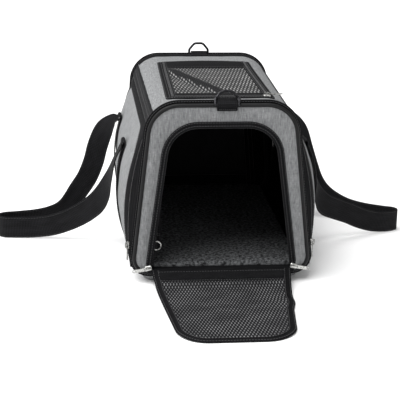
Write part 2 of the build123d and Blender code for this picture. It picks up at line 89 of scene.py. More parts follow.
# Doorways, doors and zips
doorway_low_margin = 18.5 * mm
doorway_high_margin = 23.5 * mm
doorway_low = 21 * mm
doorway_high = 257.5 * mm
doorway_corner_radius = 57 * mm
panel_centre_height = 130 * mm
panel_puff = 2 * mm
panel_face = 1.5 * mm
tape_face = 3.1 * mm
zip_tape_width = 9 * mm
coil_width = 1.8 * mm
door_inset = 11.2 * mm
door_low = 21 * mm
door_binding_width = 11 * mm
door_hem_width = 22 * mm
door_length = 215 * mm
front_door_widening = 5 * mm
front_door_bulge = 3 * mm
coil_radius = 0.85 * mm
coil_pitch = 1.5 * mm
points_per_turn = 7
front_rim_tape = 9 * mm
rear_rim_tape = 16 * mm

# Top hatch
hatch_half = 85 * mm
hatch_front = -197 * mm
hatch_rear = 131 * mm
hatch_corner = 13 * mm
hatch_binding_width = 6 * mm
hatch_hem_width = 56 * mm
hatch_front_hem = 20 * mm
hatch_face = 1.6 * mm
top_sag = 1.2 * mm
rear_crown = 4 * mm
slack_start = (-70 * mm, 76 * mm)
slack_end = (12 * mm, -168 * mm)
slack_height = 5.5 * mm
slack_dip = 2 * mm

# Fold-down sides
side_foot = 24 * mm
shoulder_zip_height = 248 * mm
side_panel_top = 246.6 * mm
top_panel_height = 266 * mm
side_bulge = 30 * mm
side_panel_end = 215.15 * mm
side_border_width = 14 * mm
side_corner_radius = 44 * mm
side_edge_radius = 12 * mm
side_zip_gap = 0.4 * mm
tent_depth = 4 * mm
tent_tuck = -5 * mm

# Webbing
webbing_width = 38 * mm
webbing_thickness = 2.2 * mm
handle_spacing = 200 * mm
anchor_foot = 30 * mm
anchor_top = 188 * mm
stitch_pitch = 4.2 * mm
ring_tab_width = 31 * mm
tether_width = 15 * mm

# D-rings
ring_half_width = 18.1 * mm
ring_height = 22.2 * mm
ring_wire_radius = 2.2 * mm
front_ring_lean = radians(34)

# Camera and light; the lens and its sensor are in millimetres
camera_place = (-0.16273, -1.74547, 0.59467)
camera_yaw = radians(4.857)
camera_pitch = radians(16.894)
camera_roll = radians(0.605)
sensor_width = 36
lens_length = 92.66
studio_reach = 14.0
sky_strength = 0.42

# Each handle's route, as (out from the side, along, up) and the webbing's width direction
side_reach = 161.7 * mm
left_handle_route = [
    ((2, -98, 167), (0, 1, 0)),
    ((12, -88, 133), (0.2, 1, 0.2)),
    ((22, -73, 102), (0.5, 0.8, 0.5)),
    ((36, -57, 77), (0.5, 0.4, 0.8)),
    ((58, -42, 56), (0.3, 0.2, 1)),
    ((86, -28, 38), (0.1, 0, 1)),
    ((115, -18, 26), (0, 0, 1)),
    ((145, -12, 21), (0, 0, 1)),
    ((175, -9, 20), (0, 0, 1)),
    ((198, -5, 20), (0, 0, 1)),
    ((210, 8, 20), (0, 0, 1)),
    ((200, 22, 20), (0, 0, 1)),
    ((177, 27, 20), (0, 0, 1)),
    ((147, 33, 20), (0, 0.2, 1)),
    ((121, 45, 22), (0, 0.2, 1)),
    ((101, 63, 27), (0.2, 0, 1)),
    ((85, 84, 38), (0.5, 0, 1)),
    ((70, 99, 56), (0.8, 0, 0.8)),
    ((54, 106, 79), (1, 0, 0.6)),
    ((42, 107, 108), (1, 0.1, 0.3)),
    ((34, 105, 138), (1, 0.2, 0.3)),
    ((22, 103, 168), (0.8, 0.5, 0.4)),
    ((6, 101, 187), (0.3, 1, 0.3)),
]
right_handle_route = [
    ((2, -98, 165), (0, 1, 0)),
    ((11, -89, 129), (0.1, 1, 0)),
    ((20, -76, 95), (0.4, 0.8, 0.4)),
    ((36, -61, 71), (0.4, 0.3, 0.8)),
    ((60, -46, 57), (0.3, 0.1, 1)),
    ((86, -35, 45), (0.3, 0, 1)),
    ((111, -25, 32), (0.2, 0, 1)),
    ((137, -16, 23), (0, 0, 1)),
    ((164, -9, 20), (0, 0, 1)),
    ((183, 2, 20), (0, 0, 1)),
    ((180, 17, 20), (0, 0, 1)),
    ((160, 28, 20), (0, 0, 1)),
    ((132, 41, 21), (0.2, 0, 1)),
    ((105, 56, 25), (0.2, 0, 1)),
    ((82, 72, 33), (0.4, 0, 1)),
    ((61, 86, 47), (0.7, 0, 0.8)),
    ((46, 95, 68), (1, 0, 0.5)),
    ((36, 100, 95), (1, 0, 0.3)),
    ((26, 102, 128), (1, 0.2, 0.3)),
    ((17, 102, 163), (0.8, 0.5, 0.4)),
    ((7, 101, 187), (0.3, 1, 0.3)),
]


# ---------------------------------------------------------------- finishes


class Val:
    """One output of a node. Arithmetic on it adds Math nodes."""

    def __init__(self, finish, socket):
        self.finish = finish
        self.socket = socket

    def math(self, operation, *others):
        return self.finish.math(operation, self, *others)

    def __add__(self, other):
        return self.math("ADD", other)

    __radd__ = __add__

    def __sub__(self, other):
        return self.math("SUBTRACT", other)

    def __rsub__(self, other):
        return self.finish.math("SUBTRACT", other, self)

    def __mul__(self, other):
        return self.math("MULTIPLY", other)

    __rmul__ = __mul__

    def __truediv__(self, other):
        return self.math("DIVIDE", other)

    def wave(self, period):
        """Sine of this length, once every period."""
        return (self * (2 * pi / period)).math("SINE")

    def step(self, low, high):
        """Smooth step from 0 at low to 1 at high."""
        ends = {"Value": self, "From Min": low, "From Max": high}
        return self.finish.node("MapRange", {"interpolation_type": "SMOOTHSTEP"}, ends)


class Finish:
    """One material: a Principled shader and the nodes that feed it."""

    def __init__(self, name, roughness=0.8, **fixed):
        self.material = bpy.data.materials.new(name)
        self.material.use_nodes = True
        self.tree = self.material.node_tree
        self.shader = self.tree.nodes["Principled BSDF"]
        self.paint(Roughness=roughness, **fixed)

    def node(self, kind, settings=None, sockets=None, output=0):
        made = self.tree.nodes.new("ShaderNode" + kind)
        for key, value in (settings or {}).items():
            setattr(made, key, value)
        for key, value in (sockets or {}).items():
            self.feed(made.inputs[key], value)
        return Val(self, made.outputs[output])

    def feed(self, socket, value):
        if isinstance(value, Val):
            self.tree.links.new(value.socket, socket)
        else:
            socket.default_value = value

    def math(self, operation, *values):
        return self.node("Math", {"operation": operation}, dict(enumerate(values)))

    def paint(self, **sockets):
        """Feed the shader: underscores in a name stand for spaces."""
        for key, value in sockets.items():
            self.feed(self.shader.inputs[key.replace("_", " ")], value)

    def cloth_axes(self):
        """Distances along the cloth's two ways, in metres."""
        both = self.node("UVMap", {"uv_map": "metres"})
        split = self.node("SeparateXYZ", sockets={0: both})
        return split, Val(self, split.socket.node.outputs[1])

    def place_axes(self):
        """Distances along the three axes of the frame, in metres."""
        place = self.node("TexCoord", output=3)
        split = self.node("SeparateXYZ", sockets={0: place})
        return [Val(self, output) for output in split.socket.node.outputs]

    def grain(self, x, y, z=0.0, detail=2.0):
        """Noise from 0 to 1 in a space whose grains are one unit apart."""
        place = self.node("CombineXYZ", sockets={0: x, 1: y, 2: z})
        return self.node("TexNoise", None, {"Vector": place, "Scale": 1.0, "Detail": detail})

    def between(self, share, dark, light):
        """Colour from dark at share 0 to light at share 1."""
        ends = {0: share, 6: (*dark, 1), 7: (*light, 1)}
        return self.node("Mix", {"data_type": "RGBA"}, ends, output=2)

    def relief(self, height, depth, strength=1.0):
        """Bump of a height from 0 to 1, that many metres deep."""
        return self.node("Bump", None, {"Height": height, "Distance": depth, "Strength": strength})


def melange_cloth(name, dark, middle, light):
    """Two-tone slub cloth: streaks along the warp, shorter ones along the weft, and a plain weave."""
    finish = Finish(name, 0.9, Specular_IOR_Level=0.2)
    u, v = finish.cloth_axes()
    warp = finish.grain(u / (1.4 * mm), v / (9 * mm), 0, 3)
    slub = finish.grain(u / (2.6 * mm), v / (20 * mm), 4.0)
    weft = finish.grain(u / (9 * mm), v / (1.4 * mm), 9.0, 3)
    fleck = finish.grain(u / (0.8 * mm), v / (2.4 * mm), 2.0, 1)
    share = warp * 0.42 + slub * 0.26 + weft * 0.2 + fleck * 0.12
    deep = finish.between(share.step(0.36, 0.52), dark, middle)
    tone = finish.node("Mix", {"data_type": "RGBA"}, {0: share.step(0.5, 0.66), 6: deep, 7: (*light, 1)}, 2)
    weave = u.wave(1.1 * mm) * v.wave(1.1 * mm) * 0.5 + 0.5
    height = weave * 0.5 + warp * 0.3 + weft * 0.2
    finish.paint(Base_Color=tone, Normal=finish.relief(height, 0.35 * mm, 0.8))
    return finish.material


def ribbed_cloth(name, dark, light, rib, depth, roughness=0.75, gloss=0.06):
    """Black tape, binding or lining: fine ribs across it and faint uneven wear."""
    finish = Finish(name, roughness, Specular_IOR_Level=gloss)
    u, v = finish.cloth_axes()
    rows = u.wave(rib) * 0.5 + 0.5
    threads = v.wave(rib * 0.6) * 0.5 + 0.5
    patch = finish.grain(u / (18 * mm), v / (7 * mm))
    fibre = finish.grain(u / (0.7 * mm), v / (2.2 * mm), 5.0)
    # Tone darkens in the rib valleys, painted shade; patch and fibre are uneven wear and tone.
    share = rows * 0.35 + patch * 0.4 + fibre * 0.25
    height = rows * 0.65 + threads * 0.2 + fibre * 0.15
    finish.paint(
        Base_Color=finish.between(share.step(0.25, 0.8), dark, light),
        Roughness=roughness - 0.1 + patch * 0.2,
        Normal=finish.relief(height, depth),
    )
    return finish.material


def webbing_cloth(name):
    """Heavy black webbing: ribs across it that step along from one warp column to the next."""
    finish = Finish(name, 0.62, Specular_IOR_Level=0.08)
    u, v = finish.cloth_axes()
    column = v / (3.2 * mm)
    lean = (column.math("FRACT") - 0.5).math("ABSOLUTE") * 2
    ribs = (u + lean * (1.1 * mm)).wave(2.8 * mm) * 0.5 + 0.5
    groove = lean.step(0.02, 0.3)
    patch = finish.grain(u / (30 * mm), v / (9 * mm))
    fibre = finish.grain(u / (1.4 * mm), v / (0.5 * mm), 3.0)
    height = ribs * groove * 0.8 + fibre * 0.2
    # Tone follows the relief: painted shade darkens the grooves and rib hollows; the patches are uneven tone.
    share = height * 0.5 + patch * 0.5
    finish.paint(
        Base_Color=finish.between(share.step(0.2, 0.85), (0.0025, 0.0025, 0.003), (0.02, 0.02, 0.022)),
        Roughness=0.5 + patch * 0.25,
        Normal=finish.relief(height, 0.9 * mm),
    )
    return finish.material


def honeycomb_mesh(name, wide, tall, light, open_share=0.0):
    """Knitted mesh: black yarn round staggered eyes, each eye's middle a painted highlight."""
    finish = Finish(name, 0.5, Specular_IOR_Level=0.08)
    u, v = finish.cloth_axes()

    def from_eye(shift):
        x = (u / wide + shift).math("FRACT") - 0.5
        y = (v / tall + shift).math("FRACT") - 0.5
        return (x * x + y * y).math("SQRT")

    reach = from_eye(0.0).math("MINIMUM", from_eye(0.5))
    eye = 1 - reach.step(0.12, 0.28)
    patch = finish.grain(u / (46 * mm), v / (30 * mm))
    # Painted highlight: the light colour fills each eye's middle, brighter in soft patches.
    glint = eye * (patch.step(0.3, 0.7) * 0.5 + 0.5)
    finish.paint(
        Base_Color=finish.between(glint, (0.010, 0.010, 0.011), light),
        Alpha=1 - eye * open_share,
        Normal=finish.relief(reach, 0.8 * mm),
    )
    return finish.material


def fleece_cloth(name):
    """Dark grey nubby fleece."""
    finish = Finish(name, 1.0, Specular_IOR_Level=0.1)
    x, y, z = finish.place_axes()
    nub = finish.grain(x / (4.5 * mm), y / (4.5 * mm), z / (4.5 * mm), 2)
    curl = finish.grain(x / (1.4 * mm), y / (1.4 * mm), z / (1.4 * mm), 3)
    # Tone and relief share one mask: lighter nubs, with painted shade darkening the hollows between them.
    share = nub * 0.65 + curl * 0.35
    finish.paint(
        Base_Color=finish.between(share.step(0.35, 0.68), (0.012, 0.012, 0.013), (0.16, 0.165, 0.17)),
        Normal=finish.relief(share, 2.2 * mm),
    )
    return finish.material


def nylon(name):
    """Glossy black zip coil."""
    finish = Finish(name, 0.3, Coat_Weight=0.15)
    x, y, z = finish.place_axes()
    dust = finish.grain(x / (9 * mm), y / (9 * mm), z / (9 * mm))
    shade = finish.between(dust.step(0.35, 0.7), (0.01, 0.01, 0.011), (0.035, 0.035, 0.038))
    finish.paint(Base_Color=shade, Roughness=0.22 + dust * 0.2)
    return finish.material


def metal(name, dark, light, roughness):
    """Plated metal with rubbed edges and fine scratches."""
    finish = Finish(name, roughness, Metallic=1.0)
    x, y, z = finish.place_axes()
    rub = finish.grain(x / (3 * mm), y / (3 * mm), z / (3 * mm), 4)
    scratch = finish.grain(x / (0.4 * mm), y / (6 * mm), z / (0.4 * mm))
    finish.paint(
        Base_Color=finish.between(rub.step(0.3, 0.7), dark, light),
        Roughness=roughness + (rub - 0.5) * 0.2,
        Normal=finish.relief(scratch, 0.03 * mm, 0.4),
    )
    return finish.material


def painted(name, colour, roughness=0.7):
    """Plain thread, board or floor, with a slightly uneven tone."""
    finish = Finish(name, roughness)
    x, y, z = finish.place_axes()
    tone = finish.grain(x / (30 * mm), y / (30 * mm), z / (30 * mm))
    darker = tuple(0.85 * part for part in colour)
    finish.paint(Base_Color=finish.between(tone.step(0.3, 0.7), darker, colour))
    return finish.material


grey_cloth = melange_cloth("grey_slub_cloth", (0.125, 0.129, 0.132), (0.208, 0.212, 0.216),
                           (0.31, 0.312, 0.312))
black_cloth = ribbed_cloth("black_binding", (0.003, 0.003, 0.0035), (0.013, 0.013, 0.014),
                           1.4 * mm, 0.25 * mm)
piping_cloth = ribbed_cloth("black_piping", (0.004, 0.004, 0.004), (0.012, 0.012, 0.013),
                            1.1 * mm, 0.1 * mm, 0.45, 0.2)
lining_cloth = ribbed_cloth("black_lining", (0.002, 0.002, 0.002), (0.005, 0.005, 0.005),
                            0.9 * mm, 0.1 * mm, 0.9, 0.05)
tape_cloth = ribbed_cloth("zip_tape", (0.004, 0.004, 0.005), (0.019, 0.019, 0.02),
                          0.9 * mm, 0.15 * mm, 0.65)
webbing = webbing_cloth("black_webbing")
# Each mesh's last colour tints the painted highlight in its eyes: on the door net it stands in for the lit
# floor seen through the eyes, on the hatch net for sheen on the yarn.
door_mesh_cloth = honeycomb_mesh("door_mesh", 4.8 * mm, 13 * mm, (0.17, 0.17, 0.173))
hatch_mesh_cloth = honeycomb_mesh("hatch_mesh", 5.8 * mm, 30 * mm, (0.35, 0.35, 0.345))
# Painted shade: the same mesh with its eye highlights dimmed to near black, for faces that stand in shade.
shaded_mesh_cloth = honeycomb_mesh("mesh_inside", 4.8 * mm, 13 * mm, (0.012, 0.012, 0.012))
tent_mesh_cloth = honeycomb_mesh("tent_mesh", 4.6 * mm, 8 * mm, (0.1, 0.1, 0.105), 0.7)
fleece = fleece_cloth("grey_fleece")
coil_nylon = nylon("coil_nylon")
bright_metal = metal("nickel_plate", (0.3, 0.3, 0.29), (0.6, 0.6, 0.58), 0.28)
gunmetal = metal("gunmetal_plate", (0.012, 0.012, 0.013), (0.05, 0.05, 0.054), 0.36)
spring_steel = metal("spring_steel", (0.35, 0.35, 0.36), (0.55, 0.55, 0.56), 0.35)
black_thread = painted("black_thread", (0.02, 0.02, 0.021))
grey_thread = painted("grey_thread", (0.06, 0.06, 0.062))
board_plastic = painted("board_plastic", (0.2, 0.2, 0.2), 0.5)


# ---------------------------------------------------------------- lines and outlines


def unit(vector):
    return vector / np.linalg.norm(vector)


def unit_each(rows):
    """Every row of a list of vectors, scaled to length one."""
    return rows / np.linalg.norm(rows, axis=1)[:, None]


def squared(ways, tangent):
    """Directions turned square to a line's tangents and scaled to length one."""
    return unit_each(ways - tangent * (ways * tangent).sum(1)[:, None])


def hill(count, low=0.0, high=1.0, power=1.0):
    """Heights over half a sine wave, from one share of its length to another."""
    return np.sin(pi * np.linspace(low, high, count)) ** power


def at_station(line, y):
    """Line (x, z) set upright at station y."""
    return np.stack([line[:, 0], np.full(len(line), y), line[:, 1]], axis=1)


def at_height(line, z):
    """Line (x, y) laid level at height z."""
    return np.stack([line[:, 0], line[:, 1], np.full(len(line), z)], axis=1)


def rounded(corners, radii, straight=14, arc=12, closed=False):
    """Line through the corners with an arc at each one that has a radius."""
    corners = [np.array(corner, float) for corner in corners]
    runs = []
    for place, (corner, radius) in enumerate(zip(corners, radii)):
        if radius == 0:
            runs.append([corner])
            continue
        before = unit(corners[place - 1] - corner)
        after = unit(corners[(place + 1) % len(corners)] - corner)
        half = acos(float(before @ after)) / 2
        centre = corner + unit(before + after) * radius / sin(half)
        start = corner + before * radius / tan(half) - centre
        end = corner + after * radius / tan(half) - centre
        turn = pi - 2 * half
        shares = np.linspace(0, 1, arc + 1)
        runs.append([centre + (start * sin((1 - s) * turn) + end * sin(s * turn)) / sin(turn)
                     for s in shares])
    points = []
    for place, run in enumerate(runs):
        points += run
        if closed or place < len(runs) - 1:
            following = runs[(place + 1) % len(runs)][0]
            points += [run[-1] + (following - run[-1]) * k / straight for k in range(1, straight)]
    if closed:
        points.append(points[0])
    return np.array(points)


def along(path):
    """Distance along a line at each of its points."""
    steps = np.linalg.norm(np.diff(path, axis=0), axis=1)
    return np.concatenate([[0], np.cumsum(steps)])


def resampled(path, count):
    """The same line through evenly spaced points."""
    path = np.asarray(path, float)
    marks = along(path)
    places = np.linspace(0, marks[-1], count)
    return np.stack([np.interp(places, marks, path[:, k]) for k in range(path.shape[1])], axis=1)


def smooth_line(points, count):
    """Catmull-Rom line through given points."""
    points = np.asarray(points, float)
    padded = np.vstack([2 * points[0] - points[1], points, 2 * points[-1] - points[-2]])
    line = []
    for share in np.linspace(0, len(points) - 1, count):
        start = min(int(share), len(points) - 2)
        t = share - start
        a, b, c, d = padded[start:start + 4]
        line.append(0.5 * (2 * b + (c - a) * t + (2 * a - 5 * b + 4 * c - d) * t ** 2
                           + (3 * b - a - 3 * c + d) * t ** 3))
    return np.array(line)


def bump_between(share, low, high):
    """Smooth hill from 0 at low, over 1 in the middle, to 0 at high."""
    inside = np.clip((share - low) / (high - low), 0, 1)
    return np.sin(pi * inside) ** 2


def half_width(y, z):
    """Half the bag's width to the piping centreline's plane."""
    share = (y + half_length) / (2 * half_length)
    shoulder = front_shoulder_width + (rear_shoulder_width - front_shoulder_width) * share
    return (floor_width - (floor_width - shoulder) * z / frame_top) / 2


def section(y, grow):
    """Cross-section (x, z) at station y, from the middle of its foot round to there again."""
    low = frame_bottom - grow
    high = frame_top + grow
    low_half = half_width(y, low) + grow
    high_half = half_width(y, high) + grow
    corners = [(0, low), (-low_half, low), (-high_half, high), (high_half, high), (low_half, low), (0, low)]
    low_radius = bottom_corner_radius + grow
    high_radius = top_corner_radius + grow
    return rounded(corners, (0, low_radius, high_radius, high_radius, low_radius, 0))


def section_part(y, grow, z0, z1, side=0):
    """Part of the section between two heights; side -1 or +1 keeps one flank of it."""
    line = resampled(section(y, grow), 1200)
    keep = (line[:, 1] >= z0) & (line[:, 1] <= z1)
    if side:
        keep &= line[:, 0] * side > 0
    return line[keep]


def doorway_half(end, z, inset):
    """Half the doorway's width at height z, shrunk by inset."""
    share = (z - doorway_low) / (doorway_high - doorway_low)
    margin = doorway_low_margin + (doorway_high_margin - doorway_low_margin) * share
    return half_width(end * half_length, z) - margin - inset


def doorway(end, inset, low):
    """Arch (x, z) of one doorway, shrunk by inset."""
    high = doorway_high - inset
    low_half = doorway_half(end, low, inset)
    high_half = doorway_half(end, high, inset)
    corners = [(-low_half, low), (-high_half, high), (high_half, high), (low_half, low)]
    radius = doorway_corner_radius - inset
    return rounded(corners, (0, radius, radius, 0))


# ---------------------------------------------------------------- making pieces


def measured(points):
    """Distances along both ways of a grid of points."""
    across = np.concatenate([np.zeros((len(points), 1)),
                             np.cumsum(np.linalg.norm(np.diff(points, axis=1), axis=2), axis=1)], axis=1)
    down = np.concatenate([np.zeros((1, points.shape[1])),
                           np.cumsum(np.linalg.norm(np.diff(points, axis=0), axis=2), axis=0)], axis=0)
    return np.stack([across, down], axis=2)


def build(name, points, faces, uv, finishes, outwards=False, caps=False):
    """Mesh object with a UV map in metres, welded where points meet."""
    mesh = bpy.data.meshes.new(name)
    mesh.from_pydata(points.tolist(), [], faces)
    layer = mesh.uv_layers.new(name="metres")
    corner = np.zeros(len(mesh.loops), int)
    mesh.loops.foreach_get("vertex_index", corner)
    layer.data.foreach_set("uv", np.asarray(uv, np.float32)[corner].ravel())
    form = bmesh.new()
    form.from_mesh(mesh)
    bmesh.ops.remove_doubles(form, verts=form.verts, dist=0.01 * mm)
    if caps:
        bmesh.ops.holes_fill(form, edges=[edge for edge in form.edges if edge.is_boundary], sides=0)
        bmesh.ops.recalc_face_normals(form, faces=form.faces)
    if outwards:
        middle = Vector(bag_middle)
        facing = sum(f.normal.dot(f.calc_center_median() - middle) * f.calc_area() for f in form.faces)
        if facing < 0:
            bmesh.ops.reverse_faces(form, faces=form.faces)
    form.to_mesh(mesh)
    form.free()
    for finish in finishes if isinstance(finishes, (list, tuple)) else [finishes]:
        mesh.materials.append(finish)
    mesh.shade_smooth()
    made = bpy.data.objects.new(name, mesh)
    bpy.context.scene.collection.objects.link(made)
    return made


def grid_faces(rows, columns, first=0):
    return [
        (first + r * columns + c, first + r * columns + c + 1,
         first + (r + 1) * columns + c + 1, first + (r + 1) * columns + c)
        for r in range(rows - 1) for c in range(columns - 1)
    ]


def grid(name, points, finishes, uv=None, **closing):
    """Surface through a grid of points, laid out by its own lengths unless a layout is given."""
    uv = measured(points) if uv is None else uv
    faces = grid_faces(*points.shape[:2])
    return build(name, points.reshape(-1, 3), faces, uv.reshape(-1, 2), finishes, **closing)


def thicken(made, thickness):
    """Give a surface its thickness inwards, with its last finish on the inner face."""
    solid = made.modifiers.new("thickness", "SOLIDIFY")
    solid.thickness = thickness
    solid.offset = -1
    solid.material_offset = len(made.data.materials) - 1


def cloth(name, points, finishes, uv=None, thickness=cloth_thickness):
    """Sheet of cloth through a grid of points; the second finish, if given, is its inner face."""
    made = grid(name, np.asarray(points, float), finishes, uv, outwards=True)
    thicken(made, thickness)
    edge = made.modifiers.new("soft_edge", "BEVEL")
    edge.width = 0.35 * thickness
    edge.segments = 2
    edge.limit_method = "ANGLE"
    edge.angle_limit = radians(50)
    return made


def sweep(name, path, across, profile, finish, sizes=None):
    """Solid of one closed profile carried along a path, with the profile's x along across."""
    path = np.asarray(path, float)
    profile = np.vstack([profile, profile[:1]])
    tangent = np.gradient(path, axis=0)
    if np.allclose(path[0], path[-1]):
        tangent[0] = tangent[-1] = path[1] - path[-2]
    tangent = unit_each(tangent)
    across = squared(np.broadcast_to(np.asarray(across, float), path.shape), tangent)
    lift = np.cross(tangent, across)
    sizes = np.ones(len(path)) if sizes is None else sizes
    points = path[:, None] + sizes[:, None, None] * (
        profile[None, :, :1] * across[:, None] + profile[None, :, 1:] * lift[:, None])
    uv = np.stack(np.broadcast_arrays(along(path)[:, None], along(profile)[None, :]), axis=2)
    return grid(name, points, finish, uv, caps=True)


def circle(radius, sides):
    angles = np.linspace(0, 2 * pi, sides, endpoint=False)
    return np.stack([radius * np.cos(angles), radius * np.sin(angles)], axis=1)


def tape_profile(width, thickness):
    """Flat strap's section with soft edges and a slightly crowned face."""
    x = width / 2
    z = thickness / 2
    corners = [(-x, -z), (x, -z), (x, z), (-x, z)]
    line = rounded(corners, (0.45 * thickness,) * 4, straight=8, arc=3, closed=True)[:-1]
    line[:, 1] *= 1 - 0.25 * (line[:, 0] / x) ** 2
    return line


def bead(length, radius):
    """Points and faces of one stitch, lying along x."""
    sides = 5
    points = []
    for place, size in ((-0.5, 0.45), (-0.3, 1), (0.3, 1), (0.5, 0.45)):
        ring = circle(radius * size, sides)
        points += [(place * length, y, z) for y, z in ring]
    faces = []
    for low in (0, sides, 2 * sides):
        high = low + sides
        for side in range(sides):
            following = (side + 1) % sides
            faces.append((low + side, low + following, high + following, high + side))
    return np.array(points), faces + [(4, 3, 2, 1, 0), (15, 16, 17, 18, 19)]


def directions(out, count):
    """One direction for each of a line's points, from a single one or from a list of them."""
    out = np.asarray(out, float)
    return np.broadcast_to(out, (count, 3)) if out.ndim == 1 else resampled(out, count)


def stitching(name, lines, finish, body, slot, pitch=stitch_pitch):
    """Rows of thread; each line is (points, the way that is out of the cloth)."""
    shape, shape_faces = bead(0.72 * pitch, 0.42 * mm)
    stitches = []
    for line, out in lines:
        line = resampled(line, max(2, round(along(line)[-1] / pitch)) * 2 + 1)
        out = directions(out, len(line))
        for place in range(1, len(line) - 1, 2):
            tangent = unit(line[place + 1] - line[place - 1])
            side = unit(np.cross(out[place], tangent))
            lift = np.cross(tangent, side)
            stitches.append(line[place] + shape @ np.stack([tangent, side, lift]))
    faces = []
    for first in range(0, len(stitches) * len(shape), len(shape)):
        faces += [tuple(first + corner for corner in face) for face in shape_faces]
    points = np.concatenate(stitches)
    made = build(name, points, faces, points[:, :2], finish)
    return place_on(made, body, slot)


def zip_coil(name, line, out, body, *nodes, start=0.0):
    """Nylon coil wound along the edge of a zip; out points away from the cloth."""
    turns = int(along(line)[-1] / coil_pitch)
    line = resampled(line, turns * points_per_turn + 1)
    out = directions(out, len(line))
    side = np.cross(unit_each(np.gradient(line, axis=0)), out)
    phase = start + 2 * pi * np.arange(len(line)) / points_per_turn
    round_it = np.cos(phase)[:, None] * side + 0.75 * np.sin(phase)[:, None] * out
    wire = line + coil_radius * 0.8 * round_it + out * 0.3 * mm
    made = sweep(name, wire, round_it, circle(0.34 * mm, 4), coil_nylon)
    return place_on(made, body, "zip_coil", *nodes)


def place_on(made, body, slot, *nodes):
    """The piece rides on a body and stands for CAD nodes, which it hides; slot is not used."""
    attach(made, body)
    if nodes:
        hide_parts(*nodes)
    return made


def rippled(points, out, size, height, seed=0.0):
    """The same points, moved in and out along a direction by soft noise."""
    points = np.asarray(points, float)
    flat = points.reshape(-1, 3)
    shift = Vector((seed, 2 * seed, -seed))
    waves = np.array([noise.noise(Vector(point) / size + shift) for point in flat])
    out = np.broadcast_to(np.asarray(out, float), points.shape).reshape(-1, 3)
    return (flat + out * (waves * height)[:, None]).reshape(points.shape)


def fan(inner, outer, middle, count, shares):
    """Grid between two outlines along rays from a middle point, through even points of the inner one."""
    def polar(line):
        offset = line - middle
        return np.arctan2(offset[:, 0], offset[:, 1]), np.linalg.norm(offset, axis=1)

    rays, near = polar(resampled(inner, count))
    angles, reach = polar(resampled(outer, 1500))
    angles[0] = -pi
    angles[-1] = pi
    far = np.maximum(np.interp(rays, angles, reach), near + 0.4 * mm)
    ways = np.stack([np.sin(rays), np.cos(rays)], axis=1)
    return np.array([middle + ways * (near + (far - near) * share)[:, None] for share in shares])


# ---------------------------------------------------------------- ends, doors and their zips


def on_end(end, flat, lift):
    """Points (x, z) on one end of the bag, that far outwards from the end's plane."""
    flat = np.asarray(flat, float)
    lift = np.broadcast_to(lift, flat.shape[:-1])
    return np.stack([flat[..., 0], end * (half_length + lift), flat[..., 1]], axis=-1)


def end_panel(end, name):
    """Puffed grey end panel round its doorway."""
    inner = doorway(end, 5 * mm, frame_bottom + 2 * mm)
    shares = np.linspace(0, 1, 13)
    flat = fan(inner, section(end * half_length, -1 * mm), np.array([0, panel_centre_height]), 220,
               shares)
    puff = (np.sin(pi * np.clip((shares - 0.22) / 0.7, 0, 1)) ** 0.7)[:, None]
    points = on_end(end, flat, panel_face + panel_puff * puff)
    pucker = puff[..., None]
    points = points * (1 - pucker) + rippled(points, (0, end, 0), 16 * mm, 0.9 * mm) * pucker
    made = cloth(name + "_panel_cloth", points, (grey_cloth, lining_cloth), uv=flat, thickness=2.6 * mm)
    place_on(made, "bag", "grey_cloth", name + "_panel")


def end_piping(end, name):
    """Corded piping round one end and the bound, stitched seam flange behind it."""
    line = resampled(section(end * half_length, 0), 340)
    path = on_end(end, line, 0)
    sizes = np.array([1 + 0.03 * noise.noise(Vector(point) / (9 * mm)) for point in path])
    sizes[-1] = sizes[0]
    bead_cord = sweep(name + "_piping_cord", path, (0, 1, 0), circle(piping_radius, 14), piping_cloth, sizes)
    place_on(bead_cord, "bag", "black_cloth", name + "_piping")
    middle = end * (tunnel_end + 0.2 * mm + seam_flange_thickness / 2)
    ring = resampled(section(middle, (seam_flange_reach - 1 * mm) / 2), 300)
    flange = sweep(name + "_seam_flange", at_station(ring, middle), (0, 1, 0),
                   binding_profile(seam_flange_thickness, 9 * mm), black_cloth)
    place_on(flange, "bag", "black_cloth", name + "_seam_binding")
    edge = resampled(section(middle, 5.2 * mm), 300)
    face = end * (abs(middle) + seam_flange_thickness / 2)
    rows = [(at_station(edge, face), (0, end, 0)), (at_station(edge, 2 * middle - face), (0, -end, 0))]
    stitching(name + "_flange_stitching", rows, grey_thread, "bag", "black_cloth")


def rim_tape(end, name, width):
    """Black tape that covers the tunnel's raw end, just inside the bound seam."""
    shares = np.linspace(0, 1, 7)
    grow = tunnel_standout + 0.4 * mm + 1.6 * mm * np.sin(pi * (0.08 + 0.92 * shares) / 2)
    rows = []
    for share, out in zip(shares, grow):
        y = end * (tunnel_end - width * (1 - share))
        line = resampled(section_part(y, out, side_foot, 1.0), 200)
        line = resampled(line[line[:, 1] > top_panel_height + 2 * mm], 120)
        rows.append(at_station(line, y))
    tape = cloth(name + "_rim_tape", np.array(rows), (black_cloth, lining_cloth), thickness=1.4 * mm)
    place_on(tape, "bag", "black_cloth")


def binding_profile(width, height):
    """Folded binding's section: a flat band with a round outer edge."""
    return rounded([(-width / 2, -height / 2), (width / 2, -height / 2), (width / 2, height / 2),
                    (-width / 2, height / 2)], (0.48 * width,) * 4, straight=3, arc=5, closed=True)[:-1]


